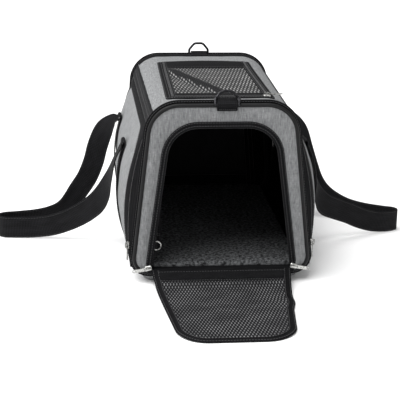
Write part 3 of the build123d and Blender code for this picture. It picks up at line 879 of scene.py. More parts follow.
def doorway_zip(end, name):
    """Zip tape round one doorway, its stitching and the doorway's half of the coil."""
    insets = np.linspace(0, zip_tape_width + 1.9 * mm, 9)
    arches = np.array([doorway(end, inset, doorway_low) for inset in insets])
    lift = (tape_face - 0.5 * mm + 0.9 * mm * hill(9, 0.08, 0.9))[:, None]
    tape = cloth(name + "_doorway_tape", on_end(end, arches, lift), black_cloth, thickness=1.8 * mm)
    place_on(tape, "bag", "black_cloth", name + "_zip_tape")
    seam = on_end(end, doorway(end, 1.6 * mm, doorway_low), tape_face + 0.1 * mm)
    second = on_end(end, doorway(end, 6.4 * mm, doorway_low), tape_face + 0.3 * mm)
    stitching(name + "_doorway_stitching", [(seam, (0, end, 0)), (second, (0, end, 0))], grey_thread,
              "bag", "black_cloth")
    line = on_end(end, doorway(end, zip_tape_width + coil_radius, doorway_low), panel_face + 0.6 * mm)
    zip_coil(name + "_doorway_coil", line, (0, end, 0), "bag", name + "_zip_coil")


def open_turn(points):
    """Front door's points, moved from shut to open on the floor, where the cloth falls and lies flat."""
    joint = joints["front_door_hinge"]
    hinge = Vector(joint["pos_m"])
    turn = Matrix.Rotation(-radians(joint["range_deg"][1]), 4, Vector(joint["axis"]))
    move = Matrix.Translation(hinge) @ turn @ Matrix.Translation(-hinge)
    turned = np.array([move @ Vector(point) for point in np.asarray(points).reshape(-1, 3)])
    reach = np.maximum(0, hinge.y - turned[:, 1])
    flat = hinge.z * (1 - reach / door_length)
    fallen = 0.6 * mm + hinge.z * np.exp(-reach / (26 * mm))
    slack = 2.2 * mm * bump_between(reach, 14 * mm, 44 * mm)
    fall = np.minimum(0, fallen - flat) * np.clip(reach / (12 * mm), 0, 1)
    turned[:, 2] += np.where(reach > 0, fall + slack, 0)
    return turned.reshape(np.shape(points))


def door_parts(end, name):
    """One door: mesh, bound edge, plain hem with its fold, stitching and its half of the zip."""
    body = name + "_door"
    lift = tape_face - 1.2 * mm

    def placed(flat, out):
        points = on_end(end, flat, lift + out)
        if end > 0:
            return points
        rise = points[..., 2]
        right = np.clip(points[..., 0] / (80 * mm), 0, 1)
        points[..., 0] += right * (front_door_widening * np.clip(rise / door_length, 0, 1) ** 1.3)
        points[..., 0] += right ** 4 * front_door_bulge * bump_between(rise, 92 * mm, 142 * mm)
        return open_turn(points)

    insets = door_inset + np.linspace(-0.8 * mm, door_binding_width, 7)
    rows = np.array([doorway(end, inset, door_low) for inset in insets])
    roll = 1.3 * mm * hill(7, power=0.6)[:, None]
    binding = cloth(name + "_door_edge", placed(rows, roll), black_cloth, thickness=2.2 * mm)
    window_low = door_low + door_hem_width
    edge = door_inset + door_binding_width - 2 * mm
    heights = np.linspace(door_low, window_low + 3 * mm, 10)
    shares = np.linspace(-1, 1, 40)
    flat = np.array([[(share * doorway_half(end, z, edge), z) for share in shares] for z in heights])
    fold = 1.4 * mm * bump_between((flat[..., 1] - door_low) / door_hem_width, 0.45, 0.95)
    hem = cloth(name + "_door_hem", placed(flat, fold), black_cloth, thickness=1.8 * mm)
    arch = resampled(doorway(end, edge, window_low), 160)
    base = np.stack([np.linspace(arch[0, 0], arch[-1, 0], 160), np.full(160, window_low)], axis=1)
    flat = np.array([base + (arch - base) * level for level in np.linspace(0, 1, 24)])
    mesh_points = placed(flat, rippled_height(flat, 0.7 * mm))
    # The rear door net's inner face gets the dark mesh copy: painted shade inside the bag.
    nets = (door_mesh_cloth, shaded_mesh_cloth) if end > 0 else door_mesh_cloth
    panel = cloth(name + "_door_net", mesh_points, nets, uv=flat, thickness=1.0 * mm)
    lines = []
    for inset in (1.6 * mm, door_binding_width - 1.8 * mm):
        flat_line = resampled(doorway(end, door_inset + inset, door_low), 300)
        lines.append(placed(flat_line, 1.0 * mm))
        lines.append(placed(flat_line, -1.9 * mm))
    for z in (door_low + 4 * mm, window_low + 1 * mm):
        flat_line = np.stack([np.linspace(-1, 1, 60) * doorway_half(end, z, edge), np.full(60, z)], axis=1)
        lines.append(placed(flat_line, 0.1 * mm))
        lines.append(placed(flat_line, -1.9 * mm))
    outwards = (0, -0.09, -1.0) if end < 0 else (0, 1.0, 0)
    thread = stitching(name + "_door_stitching", [(line, outwards) for line in lines], grey_thread, body,
                       "black_cloth")
    coil_line = placed(resampled(doorway(end, door_inset + 0.3 * mm, door_low + 2 * mm), 500), 0.2 * mm)
    zip_coil(name + "_door_coil", coil_line, np.array(outwards), body, start=pi)
    place_on(binding, body, "black_cloth", name + "_door_binding")
    place_on(hem, body, "black_cloth")
    place_on(panel, body, "mesh_cloth", name + "_door_mesh")
    if end < 0:
        for soft in (binding, hem, panel, thread):
            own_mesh(soft)


def rippled_height(flat, height):
    """Soft unevenness of a stretched net, zero at its edges."""
    waves = np.array([[noise.noise(Vector((x, z, 0)) / (38 * mm)) for x, z in row] for row in flat])
    rows, columns = waves.shape
    fade = np.sin(pi * np.linspace(0, 1, rows))[:, None] * np.sin(pi * np.linspace(0, 1, columns))[None, :]
    return waves * fade * height


def door_flap(end, name):
    """Cloth hinge from the bag's floor, over the piping, to the door's foot."""
    hinge_y = abs(joints[name + "_door_hinge"]["pos_m"][1])
    foot = door_low + 5 * mm
    shut = [(half_length - 14 * mm, 20.6 * mm), (half_length - 5 * mm, 21.4 * mm),
            (half_length, 21.8 * mm), (half_length + 3 * mm, 21.4 * mm)]
    if end < 0:
        tail = open_turn(on_end(end, [(0, door_low + 1 * mm), (0, foot)], tape_face - 1.0 * mm))
        shut += [(-point[1], point[2]) for point in tail]
    else:
        shut += [(half_length + 2.6 * mm, door_low + 1.5 * mm), (half_length + 2.4 * mm, foot)]
    line = smooth_line(shut, 22)
    half = doorway_half(end, door_low, zip_tape_width - 2 * mm)
    xs = np.linspace(-half, half, 40)
    points = np.array([[(x, end * y, z) for x in xs] for y, z in line])
    points = rippled(points, (0, 0, 1), 22 * mm, 0.8 * mm, 3.0)
    flap = cloth(name + "_door_flap", points, black_cloth, thickness=0.8 * mm)
    end * (hinge_y - 4 * mm)
    end * (hinge_y + 2 * mm)
    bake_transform(flap)


# ---------------------------------------------------------------- top and hatch


def top_edge(y):
    """Half the top cloth's width, to its shoulder seam."""
    line = section_part(y, tunnel_standout, top_panel_height - 1 * mm, 1.0, side=1)
    return line[-1, 0]


def top_sheet(flat, lift):
    """Grid of (x, y) laid on the top cloth."""
    flat = np.asarray(flat, float)
    lift = np.broadcast_to(lift, flat.shape[:2])
    stations = np.linspace(-tunnel_end, tunnel_end, 60)
    xs = np.linspace(-130 * mm, 130 * mm, 260)
    heights = []
    for y in stations:
        line = section_part(y, tunnel_standout, 200 * mm, 1.0)
        ease = (1 - (abs(y) / tunnel_end) ** 2) * np.clip(1 - (np.abs(xs) / line[-1, 0]) ** 3, 0, 1)
        heights.append(np.interp(xs, line[:, 0], line[:, 1]) - top_sag * ease)
    heights = np.array(heights)
    row = (flat[..., 1] + tunnel_end) / (2 * tunnel_end) * (len(stations) - 1)
    low = np.clip(row.astype(int), 0, len(stations) - 2)
    share = row - low
    column = (flat[..., 0] - xs[0]) / (xs[-1] - xs[0]) * (len(xs) - 1)
    left = np.clip(column.astype(int), 0, len(xs) - 2)
    across = column - left
    z = ((1 - share) * ((1 - across) * heights[low, left] + across * heights[low, left + 1])
         + share * ((1 - across) * heights[low + 1, left] + across * heights[low + 1, left + 1]))
    crown = rear_crown * np.exp(-((flat[..., 1] - 130 * mm) / (45 * mm)) ** 2)
    crown = crown * np.clip(1 - (flat[..., 0] / (105 * mm)) ** 2, 0, 1)
    return np.stack([flat[..., 0], flat[..., 1], z + crown + lift], axis=-1)


def hatch_line(inset, rear=hatch_rear):
    """U-shaped line (x, y) of the hatch's zip, shrunk by inset, from the left rear round the front."""
    half = hatch_half - inset
    front = hatch_front + inset
    corners = [(-half, rear), (-half, front), (half, front), (half, rear)]
    radius = max(3 * mm, hatch_corner - inset)
    return rounded(corners, (0, radius, radius, 0), arc=8)


def top_cloth():
    """Grey top with the hatch opening left out of it."""
    hole = hatch_half - 5 * mm
    ys = np.concatenate([np.linspace(-tunnel_end, hatch_front + 5 * mm, 7),
                         np.linspace(hatch_front + 5 * mm, hatch_rear, 34)[1:],
                         np.linspace(hatch_rear, tunnel_end, 14)[1:]])
    flat = []
    for y in ys:
        edge = top_edge(y)
        xs = np.concatenate([np.linspace(-edge, -hole, 9), np.linspace(-hole, hole, 26)[1:-1],
                             np.linspace(hole, edge, 9)])
        flat.append([(x, y) for x in xs])
    flat = np.array(flat)
    points = top_sheet(flat, 0.0)
    points = rippled(points, (0, 0, 1), 30 * mm, 0.8 * mm, 5.0)
    rows, columns = flat.shape[:2]
    faces = []
    for face in grid_faces(rows, columns):
        middle = flat.reshape(-1, 2)[list(face)].mean(0)
        if abs(middle[0]) > hole or not hatch_front + 5 * mm < middle[1] < hatch_rear:
            faces.append(face)
    made = build("top_cloth", points.reshape(-1, 3), faces, flat.reshape(-1, 2), [grey_cloth, lining_cloth],
                 outwards=True)
    thicken(made, cloth_thickness)
    place_on(made, "bag", "grey_cloth", "top_panel")


def hatch_parts():
    """Hatch zip, and the lid with its bound edge, wide rear hem, net and slack fold."""
    top = hatch_face
    rows = np.array([hatch_line(inset) for inset in np.linspace(0, zip_tape_width, 7)])
    crown = 0.5 * mm * hill(7, 0.1, 0.9)
    tape = cloth("hatch_tape", top_sheet(rows, (top + crown)[:, None]), black_cloth, thickness=1.4 * mm)
    place_on(tape, "bag", "black_cloth", "hatch_zip_tape")
    seams = [(top_sheet(hatch_line(inset)[None], top + 0.4 * mm)[0], (0, 0, 1))
             for inset in (1.5 * mm, 6.5 * mm)]
    stitching("hatch_tape_stitching", seams, grey_thread, "bag", "black_cloth")
    line = resampled(hatch_line(zip_tape_width + coil_radius), 400)
    zip_coil("hatch_frame_coil", top_sheet(line[None], top)[0], (0, 0, 1), "bag", "hatch_zip_coil")
    line = resampled(hatch_line(zip_tape_width + 2.9 * coil_radius), 400)
    zip_coil("hatch_lid_coil", top_sheet(line[None], top)[0], (0, 0, 1), "top_hatch", start=pi)

    lid = zip_tape_width + coil_width + 0.4 * mm
    rear = hatch_rear - 0.6 * mm
    insets = lid + np.linspace(0, hatch_binding_width, 7)
    rows = np.array([hatch_line(inset, rear) for inset in insets])
    roll = 0.9 * mm * hill(7, 0.05, 0.95)
    edge = cloth("hatch_edge", top_sheet(rows, (top + roll)[:, None]), black_cloth, thickness=1.8 * mm)
    place_on(edge, "top_hatch", "black_cloth", "hatch_binding")
    half = hatch_half - lid - hatch_binding_width + 2 * mm
    window_rear = hatch_rear - hatch_hem_width
    front = hatch_front + lid + hatch_binding_width - 2 * mm
    window_front = front + hatch_front_hem
    xs = np.linspace(-half, half, 44)
    for part, start, end in (("rear", window_rear - 2 * mm, rear), ("front", front, window_front + 2 * mm)):
        flat = np.array([[(x, y) for x in xs] for y in np.linspace(start, end, 9)])
        lift = top + 0.6 * mm + 0.8 * mm * hill(9)[:, None]
        hem = cloth(f"hatch_{part}_hem", top_sheet(flat, lift), black_cloth, thickness=1.4 * mm)
        place_on(hem, "top_hatch", "black_cloth")
    flat = np.array([[(x, y) for x in xs] for y in np.linspace(window_front, window_rear, 60)])
    points = top_sheet(flat, top + hatch_slack(flat))
    net = cloth("hatch_net", points, (hatch_mesh_cloth, shaded_mesh_cloth), uv=flat, thickness=0.8 * mm)
    # Faces along the slack fold, and the net's inner face, get the dark mesh copy: painted shade.
    for face in net.data.polygons:
        spot = np.array(face.center)[:2]
        face.material_index = int(hatch_slack(spot[None])[0] > 0.2 * mm)
    place_on(net, "top_hatch", "mesh_cloth", "hatch_mesh")
    lines = [top_sheet(resampled(hatch_line(lid + inset, rear), 300)[None], top + 0.8 * mm)[0]
             for inset in (1.6 * mm, hatch_binding_width - 1.8 * mm)]
    for y in (window_front - 1.5 * mm, window_rear + 1.5 * mm, rear - 4 * mm):
        row = np.stack([np.linspace(-half, half, 60), np.full(60, y)], axis=1)
        lines.append(top_sheet(row[None], top + 0.9 * mm)[0])
    stitching("hatch_stitching", [(line, (0, 0, 1)) for line in lines], grey_thread, "top_hatch",
              "black_cloth")


def hatch_slack(flat):
    """Height of the net's one slack fold, from the left rear corner to the middle of the front."""
    start = np.array(slack_start)
    end = np.array(slack_end)
    way = unit(end - start)
    offset = flat - start
    beside = offset[..., 0] * way[1] - offset[..., 1] * way[0]
    far = (offset @ way) / np.linalg.norm(end - start)
    ends = np.clip(far * 6, 0, 1) * np.clip((1 - far) * 6, 0, 1)
    ridge = slack_height * np.exp(-(beside / (7 * mm)) ** 2)
    dip = slack_dip * np.exp(-((beside - 18 * mm) / (10 * mm)) ** 2)
    return np.where((far > 0) & (far < 1), (ridge - dip) * ends, 0) - 0.4 * mm


# ---------------------------------------------------------------- sides


def side_arc(y, top):
    """Centre (x, z), radius and end angles of the side's bowed outline at station y, on the right."""
    rise = side_bulge * (1 - (abs(y) / (half_length - piping_radius)) ** 8)
    foot = np.array([half_width(y, side_foot) + tunnel_standout, side_foot])
    head = np.array([half_width(y, top) + tunnel_standout - cloth_thickness, top])
    chord = np.linalg.norm(head - foot)
    radius = (chord ** 2 / 4 + rise ** 2) / (2 * rise)
    inward = np.array([-(head - foot)[1], (head - foot)[0]]) / chord
    centre = (foot + head) / 2 + inward * (radius - rise)
    foot_angle = atan2(*(foot - centre)[::-1])
    head_angle = atan2(*(head - centre)[::-1])
    return centre, radius, foot_angle, head_angle


def side_point(side, y, rise, out, top=side_panel_top):
    """Point of the bowed side at station y and height rise above its foot, measured along the arc."""
    centre, radius, foot_angle, head_angle = side_arc(y, top)
    share = rise / (top - side_foot)
    angle = foot_angle + (head_angle - foot_angle) * share
    reach = radius + out
    return (side * (centre[0] + reach * cos(angle)), y, centre[1] + reach * sin(angle))


def on_side(side, flat, out, top=side_panel_top):
    """Grid of (y, rise) on the bowed side, that far out from its face."""
    flat = np.asarray(flat, float)
    out = np.broadcast_to(out, flat.shape[:-1])
    places = [side_point(side, y, rise, lift, top)
              for (y, rise), lift in zip(flat.reshape(-1, 2), out.ravel())]
    return np.array(places).reshape(*flat.shape[:-1], 3)


panel_height = side_panel_top - side_foot
cloth_end = side_panel_end - side_border_width
cloth_top = panel_height - side_border_width


def cloth_half(rise):
    """Half the length of the side's grey cloth at one height, with its rounded top corners."""
    start = cloth_top - side_corner_radius
    if rise <= start:
        return cloth_end
    return cloth_end - side_corner_radius + (max(0.0, side_corner_radius ** 2 - (rise - start) ** 2)) ** 0.5


def side_outline(grow):
    """Line (y, rise) round the grey cloth, from its front foot over the top to its rear foot."""
    end = cloth_end + grow
    high = cloth_top + grow
    radius = side_corner_radius + grow
    corners = [(-end, 0), (-end, high), (end, high), (end, 0)]
    return resampled(rounded(corners, (0, radius, radius, 0)), 260)


def side_parts(side, name):
    """Fold-down side: grey cloth, black border with its half of the zip, and the folded mesh tent."""
    body = "side_" + name
    heights = np.linspace(0, 1, 42) ** 0.9 * (cloth_top + 2 * mm)
    shares = np.linspace(-1, 1, 70)
    flat = np.array([[(share * (cloth_half(min(rise, cloth_top)) + 1 * mm), rise) for share in shares]
                     for rise in heights])
    points = on_side(side, flat, 0.0)
    fade = bump_between(flat[..., 1] / cloth_top, 0, 1)[..., None]
    points = points * (1 - fade) + rippled(points, (side, 0, 0), 55 * mm, 3.4 * mm, side) * fade
    points = rippled(points, (side, 0, 0), 14 * mm, 0.35 * mm, 2.0)
    panel = cloth("side_cloth_" + name, points, (grey_cloth, lining_cloth), uv=flat, thickness=2.4 * mm)
    place_on(panel, body, "grey_cloth", "side_panel_" + name)

    inner = side_outline(0)
    corners = [(-side_panel_end, 0), (-side_panel_end, panel_height), (side_panel_end, panel_height),
               (side_panel_end, 0)]
    outer = resampled(rounded(corners, (0, side_edge_radius, side_edge_radius, 0)), 260)
    flat = np.array([inner + (outer - inner) * level for level in np.linspace(0, 1, 8)])
    roll = 1.3 * mm * hill(8, power=0.6) + 0.2 * mm
    border = cloth("side_edge_" + name, on_side(side, flat, roll[:, None]), (black_cloth, lining_cloth),
                   thickness=2.6 * mm)
    place_on(border, body, "black_cloth", "side_border_" + name)
    seam = on_side(side, side_outline(1.8 * mm), 1.2 * mm)
    outs = on_side(side, side_outline(1.8 * mm), 11.2 * mm) - seam
    stitching("side_stitching_" + name, [(seam, outs)], grey_thread, body, "black_cloth")
    line = resampled(outer, 700)
    lifted = on_side(side, line, 0.2 * mm)
    out = (on_side(side, line, 10.2 * mm) - lifted) / (10 * mm)
    zip_coil("side_panel_coil_" + name, lifted, out, body, start=pi)
    side_tent(side, name)


def side_tent(side, name):
    """Mesh tent that joins the fold-down side to the bag, folded flat behind the border."""
    body = "side_" + name
    joint = joints[body + "_fold"]
    hinge = Vector(joint["pos_m"])
    axis = Vector(joint["axis"])
    layers = np.linspace(0, 1, 17)
    for part, end in (("front", -1), ("rear", 1)):
        rises = np.linspace(3 * mm, panel_height - 2 * mm, 20)
        start = end * (side_panel_end - 1 * mm)
        rows = np.array([[side_point(side, start - end * tent_depth * layer, rise, tent_tuck)
                          for rise in rises] for layer in layers])
        make_tent(f"side_tent_{part}_{name}", rows, layers, hinge, axis)
    ys = np.linspace(-side_panel_end + 1 * mm, side_panel_end - 1 * mm, 60)
    high = panel_height - 2 * mm
    rows = np.array([[np.array(side_point(side, y, high, tent_tuck)) - (0, 0, tent_depth * layer)
                      for y in ys] for layer in layers])
    start = rows[0][0][2]
    roof = make_tent("side_tent_top_" + name, rows, layers, hinge, axis)
    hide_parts("side_tent_" + name)


def make_tent(name, rows, layers, hinge, axis):
    """One panel of the tent, with its cloth measured as it is when the side is folded down."""
    opened = np.array([[Matrix.Rotation(pi / 2 * layer, 3, axis) @ (Vector(point) - hinge) for point in row]
                       for row, layer in zip(rows, layers)])
    made = grid(name, rows, tent_mesh_cloth, measured(opened))
    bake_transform(made)
    return made


def side_bands(side, name):
    """Fixed black bands round the side opening: pleated at the ends, corded along the shoulder."""
    start = side_panel_end + side_zip_gap + coil_width
    for part, end in (("front", -1), ("rear", 1)):
        shares = np.linspace(0, 1, 15)
        ys = end * (start - 1 * mm + (tunnel_end - start + 1 * mm) * shares)
        pleats = 1.5 * mm * np.sin(pi * shares * 3) ** 2
        rises = np.linspace(0, shoulder_zip_height - side_foot, 70)
        flat = np.array([[(y, rise) for rise in rises] for y in ys])
        points = on_side(side, flat, pleats[:, None], shoulder_zip_height)
        points = rippled(points, (side, 0, 0), 24 * mm, 0.8 * mm, 7.0)
        band = cloth(f"side_band_{part}_{name}", points, (black_cloth, lining_cloth), thickness=1.6 * mm)
        place_on(band, "bag", "black_cloth")
    low = shoulder_zip_height - 1 * mm
    high = top_panel_height + 1.5 * mm
    rows = []
    for y in np.linspace(-tunnel_end, tunnel_end, 60):
        line = section_part(y, tunnel_standout, low, high, side)
        rows.append(at_station(resampled(line if side < 0 else line[::-1], 13), y))
    rows = np.array(rows)
    shares = np.linspace(0, 1, 13)
    cords = 1.3 * mm * (bump_between(shares, 0.04, 0.34) + bump_between(shares, 0.66, 0.98)) + 0.2 * mm
    out = np.array([side * 0.9, 0, 0.43])
    rows = rows + cords[None, :, None] * out
    shoulder = cloth("side_shoulder_" + name, rows, (tape_cloth, lining_cloth), thickness=1.6 * mm)
    place_on(shoulder, "bag", "black_cloth", "side_band_" + name)
    middle = rows[:, 6] + 0.2 * mm * out
    stitching("shoulder_stitching_" + name, [(middle, out)], grey_thread, "bag", "black_cloth")
    gap = side_panel_end + side_zip_gap + coil_radius
    corners = [(-gap, 0), (-gap, panel_height + 2.2 * mm), (gap, panel_height + 2.2 * mm), (gap, 0)]
    line = resampled(rounded(corners, (0, side_edge_radius, side_edge_radius, 0)), 700)
    lifted = on_side(side, line, 0.6 * mm)
    outs = (on_side(side, line, 10.6 * mm) - lifted) / (10 * mm)
    zip_coil("side_frame_coil_" + name, lifted, outs, "bag", "side_zip_coil_" + name)


# ---------------------------------------------------------------- base and lining


def floor_and_base():
    """Tunnel floor, padded base under it and the fleece mat inside."""
    seam = side_foot + 0.8 * mm
    rows = []
    for y in np.linspace(-tunnel_end, tunnel_end, 30):
        line = section_part(y, tunnel_standout, 0, side_foot)
        line = line[np.argsort(line[:, 0])]
        foot = half_width(y, side_foot) + tunnel_standout - 0.6 * mm
        rows.append(at_station(resampled(np.vstack([[(-foot, seam)], line, [(foot, seam)]]), 60), y))
    made = cloth("floor_cloth_skin", np.array(rows), (grey_cloth, lining_cloth))
    place_on(made, "bag", "grey_cloth", "floor_cloth")
    base_pad()
    fleece_pad()


def slab_outline(half_x, half_y, radius):
    """Closed line (x, y) round a slab with rounded corners."""
    corners = [(-half_x, -half_y), (half_x, -half_y), (half_x, half_y), (-half_x, half_y)]
    return rounded(corners, (radius,) * 4, straight=24, arc=8, closed=True)


def base_pad():
    """Padded grey base, as rings (inset, height) in millimetres, that hides the stiff board."""
    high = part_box("base_cover")[1]
    rings = [(12, 0.0), (5, 0.2), (1.6, 1.2), (0.3, 3.5), (0, 7),
             (0.3, 10.5), (1.6, 12.8), (5, 13.7), (12, 13.9)]
    rows = []
    for inset, z in rings:
        line = slab_outline(high.x - inset * mm, high.y - inset * mm, (20 - 0.6 * inset) * mm)
        rows.append(at_height(line, z * mm))
    made = grid("base_pad", np.array(rows), grey_cloth, caps=True)
    place_on(made, "bag", "grey_cloth", "base_cover")


def fleece_pad():
    """Loose fleece mat with a nubby top and rounded edges."""
    low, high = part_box("fleece_mat")
    edge = 5 * mm
    radius = 20 * mm
    top = high.z - 0.8 * mm
    rings = [(2 * mm, low.z), (0, low.z + 2 * mm), (0, top - edge)]
    rings += [(edge * (1 - cos(turn)), top - edge + edge * sin(turn)) for turn in np.linspace(0.3, pi / 2, 5)]
    rows = []
    for inset, z in rings:
        line = slab_outline(high.x - inset, high.y - inset, radius - 0.5 * inset)
        rows.append(at_height(line, z))
    last = rows[-1]
    for share in np.linspace(0, 0.985, 46)[1:]:
        ring = last.copy()
        ring[:, :2] *= 1 - share
        rows.append(ring)
    rows = np.array(rows)
    rows = rippled(rows, (0, 0, 1), 7 * mm, 1.0 * mm)
    rows = rippled(rows, (0, 0, 1), 45 * mm, 1.0 * mm, 4.0)
    rows[..., 2] = np.maximum(rows[..., 2], low.z)
    made = grid("fleece_pad", rows, fleece, caps=True)
    smooth = made.modifiers.new("finer", "SUBSURF")
    smooth.levels = 1
    smooth.render_levels = 1
    place_on(made, "bag", "fleece", "fleece_mat")


# ---------------------------------------------------------------- handles, rings and tether


def handle_loop(side, name):
    """One handle's free webbing, its two stitched ends and the fold between them."""
    joint = joints[f"handle_{name}_lift"]
    root = np.array(joint["pos_m"])
    route = left_handle_route if side < 0 else right_handle_route
    step = np.array([side * 2.4 * mm, 0, -4 * mm])
    axis = unit(np.array(joint["axis"]))
    far_root = root + axis * (handle_spacing / axis[1])
    centres = [root + step]
    across = [(0, 1, 0)]
    for (out, y, z), width in route:
        centres.append((side * (side_reach + out * mm), y * mm, z * mm))
        across.append((side * width[0], width[1], width[2]))
    centres.append(far_root + step)
    across.append((0, 1, 0))
    path = smooth_line(centres, 300)
    widths = smooth_line(across, 300)
    loop = sweep("handle_loop_" + name, path, widths, tape_profile(webbing_width, webbing_thickness), webbing)
    place_on(loop, "handle_" + name, "webbing", "handle_" + name)
    tangent = np.gradient(path, axis=0)
    sideways = squared(widths, unit_each(tangent))
    edges = [path + sideways * (webbing_width / 2 - 2.5 * mm) * way for way in (-1, 1)]
    faces = unit_each(np.cross(tangent, sideways))
    lines = []
    for edge in edges:
        for way in (-1, 1):
            lines.append((edge + faces * way * 1.0 * mm, faces * way))
    stitching("handle_stitching_" + name, lines, black_thread, "handle_" + name, "webbing", 5 * mm)
    for part, end, start in (("near", -1, 0), ("far", 1, -1)):
        anchor_strap(side, name, part, end, path[start])


def anchor_strap(side, name, part, end, loop_start):
    """Webbing stitched down the side below the fold, with a crossed box of stitching."""
    y = end * handle_spacing / 2
    out = 1.4 * mm
    rises = np.linspace(anchor_foot - side_foot, anchor_top - side_foot, 40)
    path = np.array([side_point(side, y, rise, out + 0.2 * mm) for rise in rises])
    profile = tape_profile(webbing_width, webbing_thickness)
    strap = sweep(f"handle_anchor_{part}_{name}", path, (0, 1, 0), profile, webbing)
    place_on(strap, "side_" + name, "webbing")
    if part == "near":
        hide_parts("handle_anchor_" + name)
    normal = unit(np.array(side_point(side, y, rises[-1], 12 * mm)) - path[-1])
    head = path[-1]
    fold = smooth_line([path[-3], head, head + (0, 0, 3.4 * mm) + normal * 0.4 * mm,
                        (head + loop_start) / 2 + (0, 0, 5.4 * mm) + normal * 0.8 * mm,
                        loop_start + (0, 0, 2.6 * mm) + normal * 0.6 * mm, loop_start,
                        loop_start - (0, 0, 2.5 * mm)], 30)
    profile = tape_profile(webbing_width * 0.99, webbing_thickness)
    hump = sweep(f"handle_fold_{part}_{name}", fold, (0, 1, 0), profile, webbing)
    head + normal * 0.8 * mm
    loop_start - normal * 0.4 * mm
    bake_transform(hump)

    half = webbing_width / 2 - 3.2 * mm
    low = rises[-1] - 34 * mm
    high = rises[-1] - 3 * mm
    box = [((-half, low), (half, low)), ((half, low), (half, high)), ((half, high), (-half, high)),
           ((-half, high), (-half, low)), ((-half, low), (half, high)), ((-half, high), (half, low)),
           ((-half, rises[0] + 2 * mm), (-half, low)), ((half, rises[0] + 2 * mm), (half, low))]
    lines = []
    for (y0, rise0), (y1, rise1) in box:
        flat = np.stack([np.linspace(y0, y1, 30) + y, np.linspace(rise0, rise1, 30)], axis=1)
        lines.append((on_side(side, flat, out + 1.3 * mm), normal))
    stitching(f"anchor_stitching_{part}_{name}", lines, grey_thread, "side_" + name, "webbing", 3.4 * mm)


def d_ring(end, name):
    """D-ring of heavy wire with a flat bar and a peaked bow."""
    bar = np.array(joints[name + "_ring_swing"]["pos_m"])
    half = ring_half_width
    high = ring_height
    corners = [(-half, 0), (-half, 0.45 * high), (-0.45 * half, high), (0.45 * half, high),
               (half, 0.45 * high), (half, 0)]
    radii = (2.4 * mm, 6 * mm, 9 * mm, 9 * mm, 6 * mm, 2.4 * mm)
    flat = rounded(corners, radii, straight=4, arc=8, closed=True)
    lean = front_ring_lean if end < 0 else 0
    path = bar + np.stack([flat[:, 0], flat[:, 1] * sin(lean), flat[:, 1] * cos(lean)], axis=1)
    ring = sweep(name + "_ring_wire", path, (0, cos(lean), -sin(lean)), circle(ring_wire_radius, 14),
                 gunmetal)
    place_on(ring, name + "_ring", "dark_metal", name + "_d_ring")


def ring_strap(end, name):
    """Webbing that wraps the D-ring's bar and is sewn over the rim of the bag."""
    bar = joints[name + "_ring_swing"]["pos_m"]
    x = bar[0]
    out = abs(bar[1])
    wrap = 3.5 * mm
    rim = frame_top + seam_flange_reach + 1.4 * mm
    turns = np.linspace(radians(-70), radians(110), 9)
    loop = [(out + wrap * cos(turn), bar[2] + wrap * sin(turn)) for turn in turns]
    front = [(half_length + 3.2 * mm, frame_top - 7.5 * mm), (half_length + 3.8 * mm, frame_top - 5 * mm),
             (half_length + 4.5 * mm, frame_top - 2.6 * mm)]
    back = [(half_length - 1.4 * mm, rim), (half_length - 5.4 * mm, rim + 0.2 * mm),
            (tunnel_end - 1.2 * mm, rim - 2.4 * mm), (tunnel_end - 4 * mm, frame_top + 5 * mm),
            (tunnel_end - 8 * mm, frame_top + 4.3 * mm), (tunnel_end - 13 * mm, frame_top + 4.2 * mm)]
    line = smooth_line(front + loop + back, 70)
    path = np.array([(x, end * y, z) for y, z in line])
    strap = sweep(name + "_ring_strap", path, (1, 0, 0), tape_profile(ring_tab_width, webbing_thickness),
                  webbing)
    place_on(strap, "bag", "webbing", name + "_ring_tab")
    half = 13 * mm
    y = end * (half_length + 5.0 * mm)
    z = frame_top - 5 * mm
    row = np.array([(x - half, y, z), (x + half, y, z)])
    stitching(name + "_ring_stitching", [(row, (0, end, 0))], grey_thread, "bag", "webbing", 3 * mm)


def tether():
    """Short webbing strap inside the doorway, looped round its snap ring."""
    low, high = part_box("tether_strap")
    x, y, z = (low + high) / 2
    path = smooth_line([(x, y, high.z), (x, y + 0.6 * mm, z), (x, y, low.z + 2 * mm),
                        (x, y - 0.4 * mm, low.z - 1.6 * mm)], 24)
    strap = sweep("tether_webbing", path, (1, 0, 0), tape_profile(tether_width, 1.8 * mm), webbing)
    place_on(strap, "bag", "webbing", "tether_strap")
    lines = []
    for height in (low.z + 8 * mm, low.z + 11 * mm):
        row = np.array([(x - 5.5 * mm, y - 1.1 * mm, height), (x + 5.5 * mm, y - 1.1 * mm, height)])
        lines.append((row, (0, -1, 0)))
    stitching("tether_stitching", lines, grey_thread, "bag", "webbing", 2.6 * mm)


def finish_hardware():
    """Metal and plastic finishes for the CAD parts that are shown as they are."""
    for name, node in frame["nodes"].items():
        if "slider" in name or "pull" in name or name == "tether_clip":
            finish = bright_metal
        elif name.endswith("d_ring"):
            finish = gunmetal
        elif name.endswith("frame_wire"):
            finish = spring_steel
        elif name == "base_board":
            finish = board_plastic
        else:
            continue
        node.data.materials.clear()
        node.data.materials.append(finish)
        node.data.shade_smooth()
        node.data.set_sharp_from_angle(angle=radians(40))


# ---------------------------------------------------------------- room


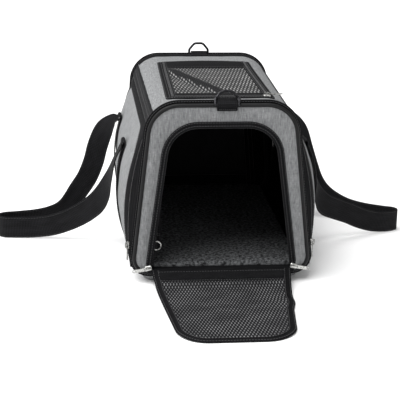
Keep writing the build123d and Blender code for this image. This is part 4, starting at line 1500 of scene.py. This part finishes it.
def floor_and_light():
    """Pale floor, even white surroundings and three soft lamps."""
    mesh = bpy.data.meshes.new("studio_floor")
    reach = studio_reach
    mesh.from_pydata([(-reach, -reach, 0), (reach, -reach, 0), (reach, reach, 0), (-reach, reach, 0)], [],
                     [(0, 1, 2, 3)])
    floor = bpy.data.objects.new("studio_floor", mesh)
    finish = Finish("studio_paper", 0.95)
    finish.paint(Base_Color=(0.93, 0.93, 0.93, 1))
    mesh.materials.append(finish.material)
    bpy.context.scene.collection.objects.link(floor)
    world = bpy.data.worlds.new("studio")
    world.use_nodes = True
    world.node_tree.nodes["Background"].inputs["Color"].default_value = (1, 1, 1, 1)
    world.node_tree.nodes["Background"].inputs["Strength"].default_value = sky_strength
    bpy.context.scene.world = world
    # Name, kind, place, the setting that spreads its light, that setting's value, power
    lamps = [
        ("overhead", "SUN", (-0.8, -0.3, 2.4), "angle", radians(55), 3.6),
        ("left_light", "AREA", (-2.4, -0.3, 1.5), "size", 1.6, 30),
        ("front_light", "AREA", (0.9, -2.6, 1.7), "size", 1.4, 5),
    ]
    for name, kind, place, spread, size, power in lamps:
        lamp = bpy.data.lights.new(name, kind)
        setattr(lamp, spread, size)
        lamp.energy = power
        made = bpy.data.objects.new(name, lamp)
        made.location = place
        made.rotation_euler = (Vector((0, 0, 0.12)) - Vector(place)).to_track_quat("-Z", "Y").to_euler()
        made.visible_camera = False
        bpy.context.scene.collection.objects.link(made)


def camera():
    """Camera in front of the open door, a little to the left and above."""
    yaw = camera_yaw
    forward = Vector((sin(yaw) * cos(camera_pitch), cos(yaw) * cos(camera_pitch), -sin(camera_pitch)))
    level = Vector((cos(yaw), -sin(yaw), 0))
    upright = level.cross(forward)
    right = cos(camera_roll) * level + sin(camera_roll) * upright
    up = -sin(camera_roll) * level + cos(camera_roll) * upright
    lens = bpy.data.cameras.new("camera")
    lens.sensor_width = sensor_width
    lens.lens = lens_length
    made = bpy.data.objects.new("camera", lens)
    turn = Matrix((right, up, -forward)).transposed().to_4x4()
    made.matrix_world = Matrix.Translation(camera_place) @ turn
    bpy.context.scene.collection.objects.link(made)
    bpy.context.scene.camera = made


camera()
floor_and_light()
bpy.context.scene.view_settings.view_transform = "Standard"
for end, name in ((-1, "front"), (1, "rear")):
    end_panel(end, name)
    end_piping(end, name)
    rim_tape(end, name, front_rim_tape if end < 0 else rear_rim_tape)
    doorway_zip(end, name)
    door_parts(end, name)
    door_flap(end, name)
    ring_strap(end, name)
    d_ring(end, name)
top_cloth()
hatch_parts()
for side, name in ((-1, "left"), (1, "right")):
    side_parts(side, name)
    side_bands(side, name)
    handle_loop(side, name)
floor_and_base()
tether()
finish_hardware()
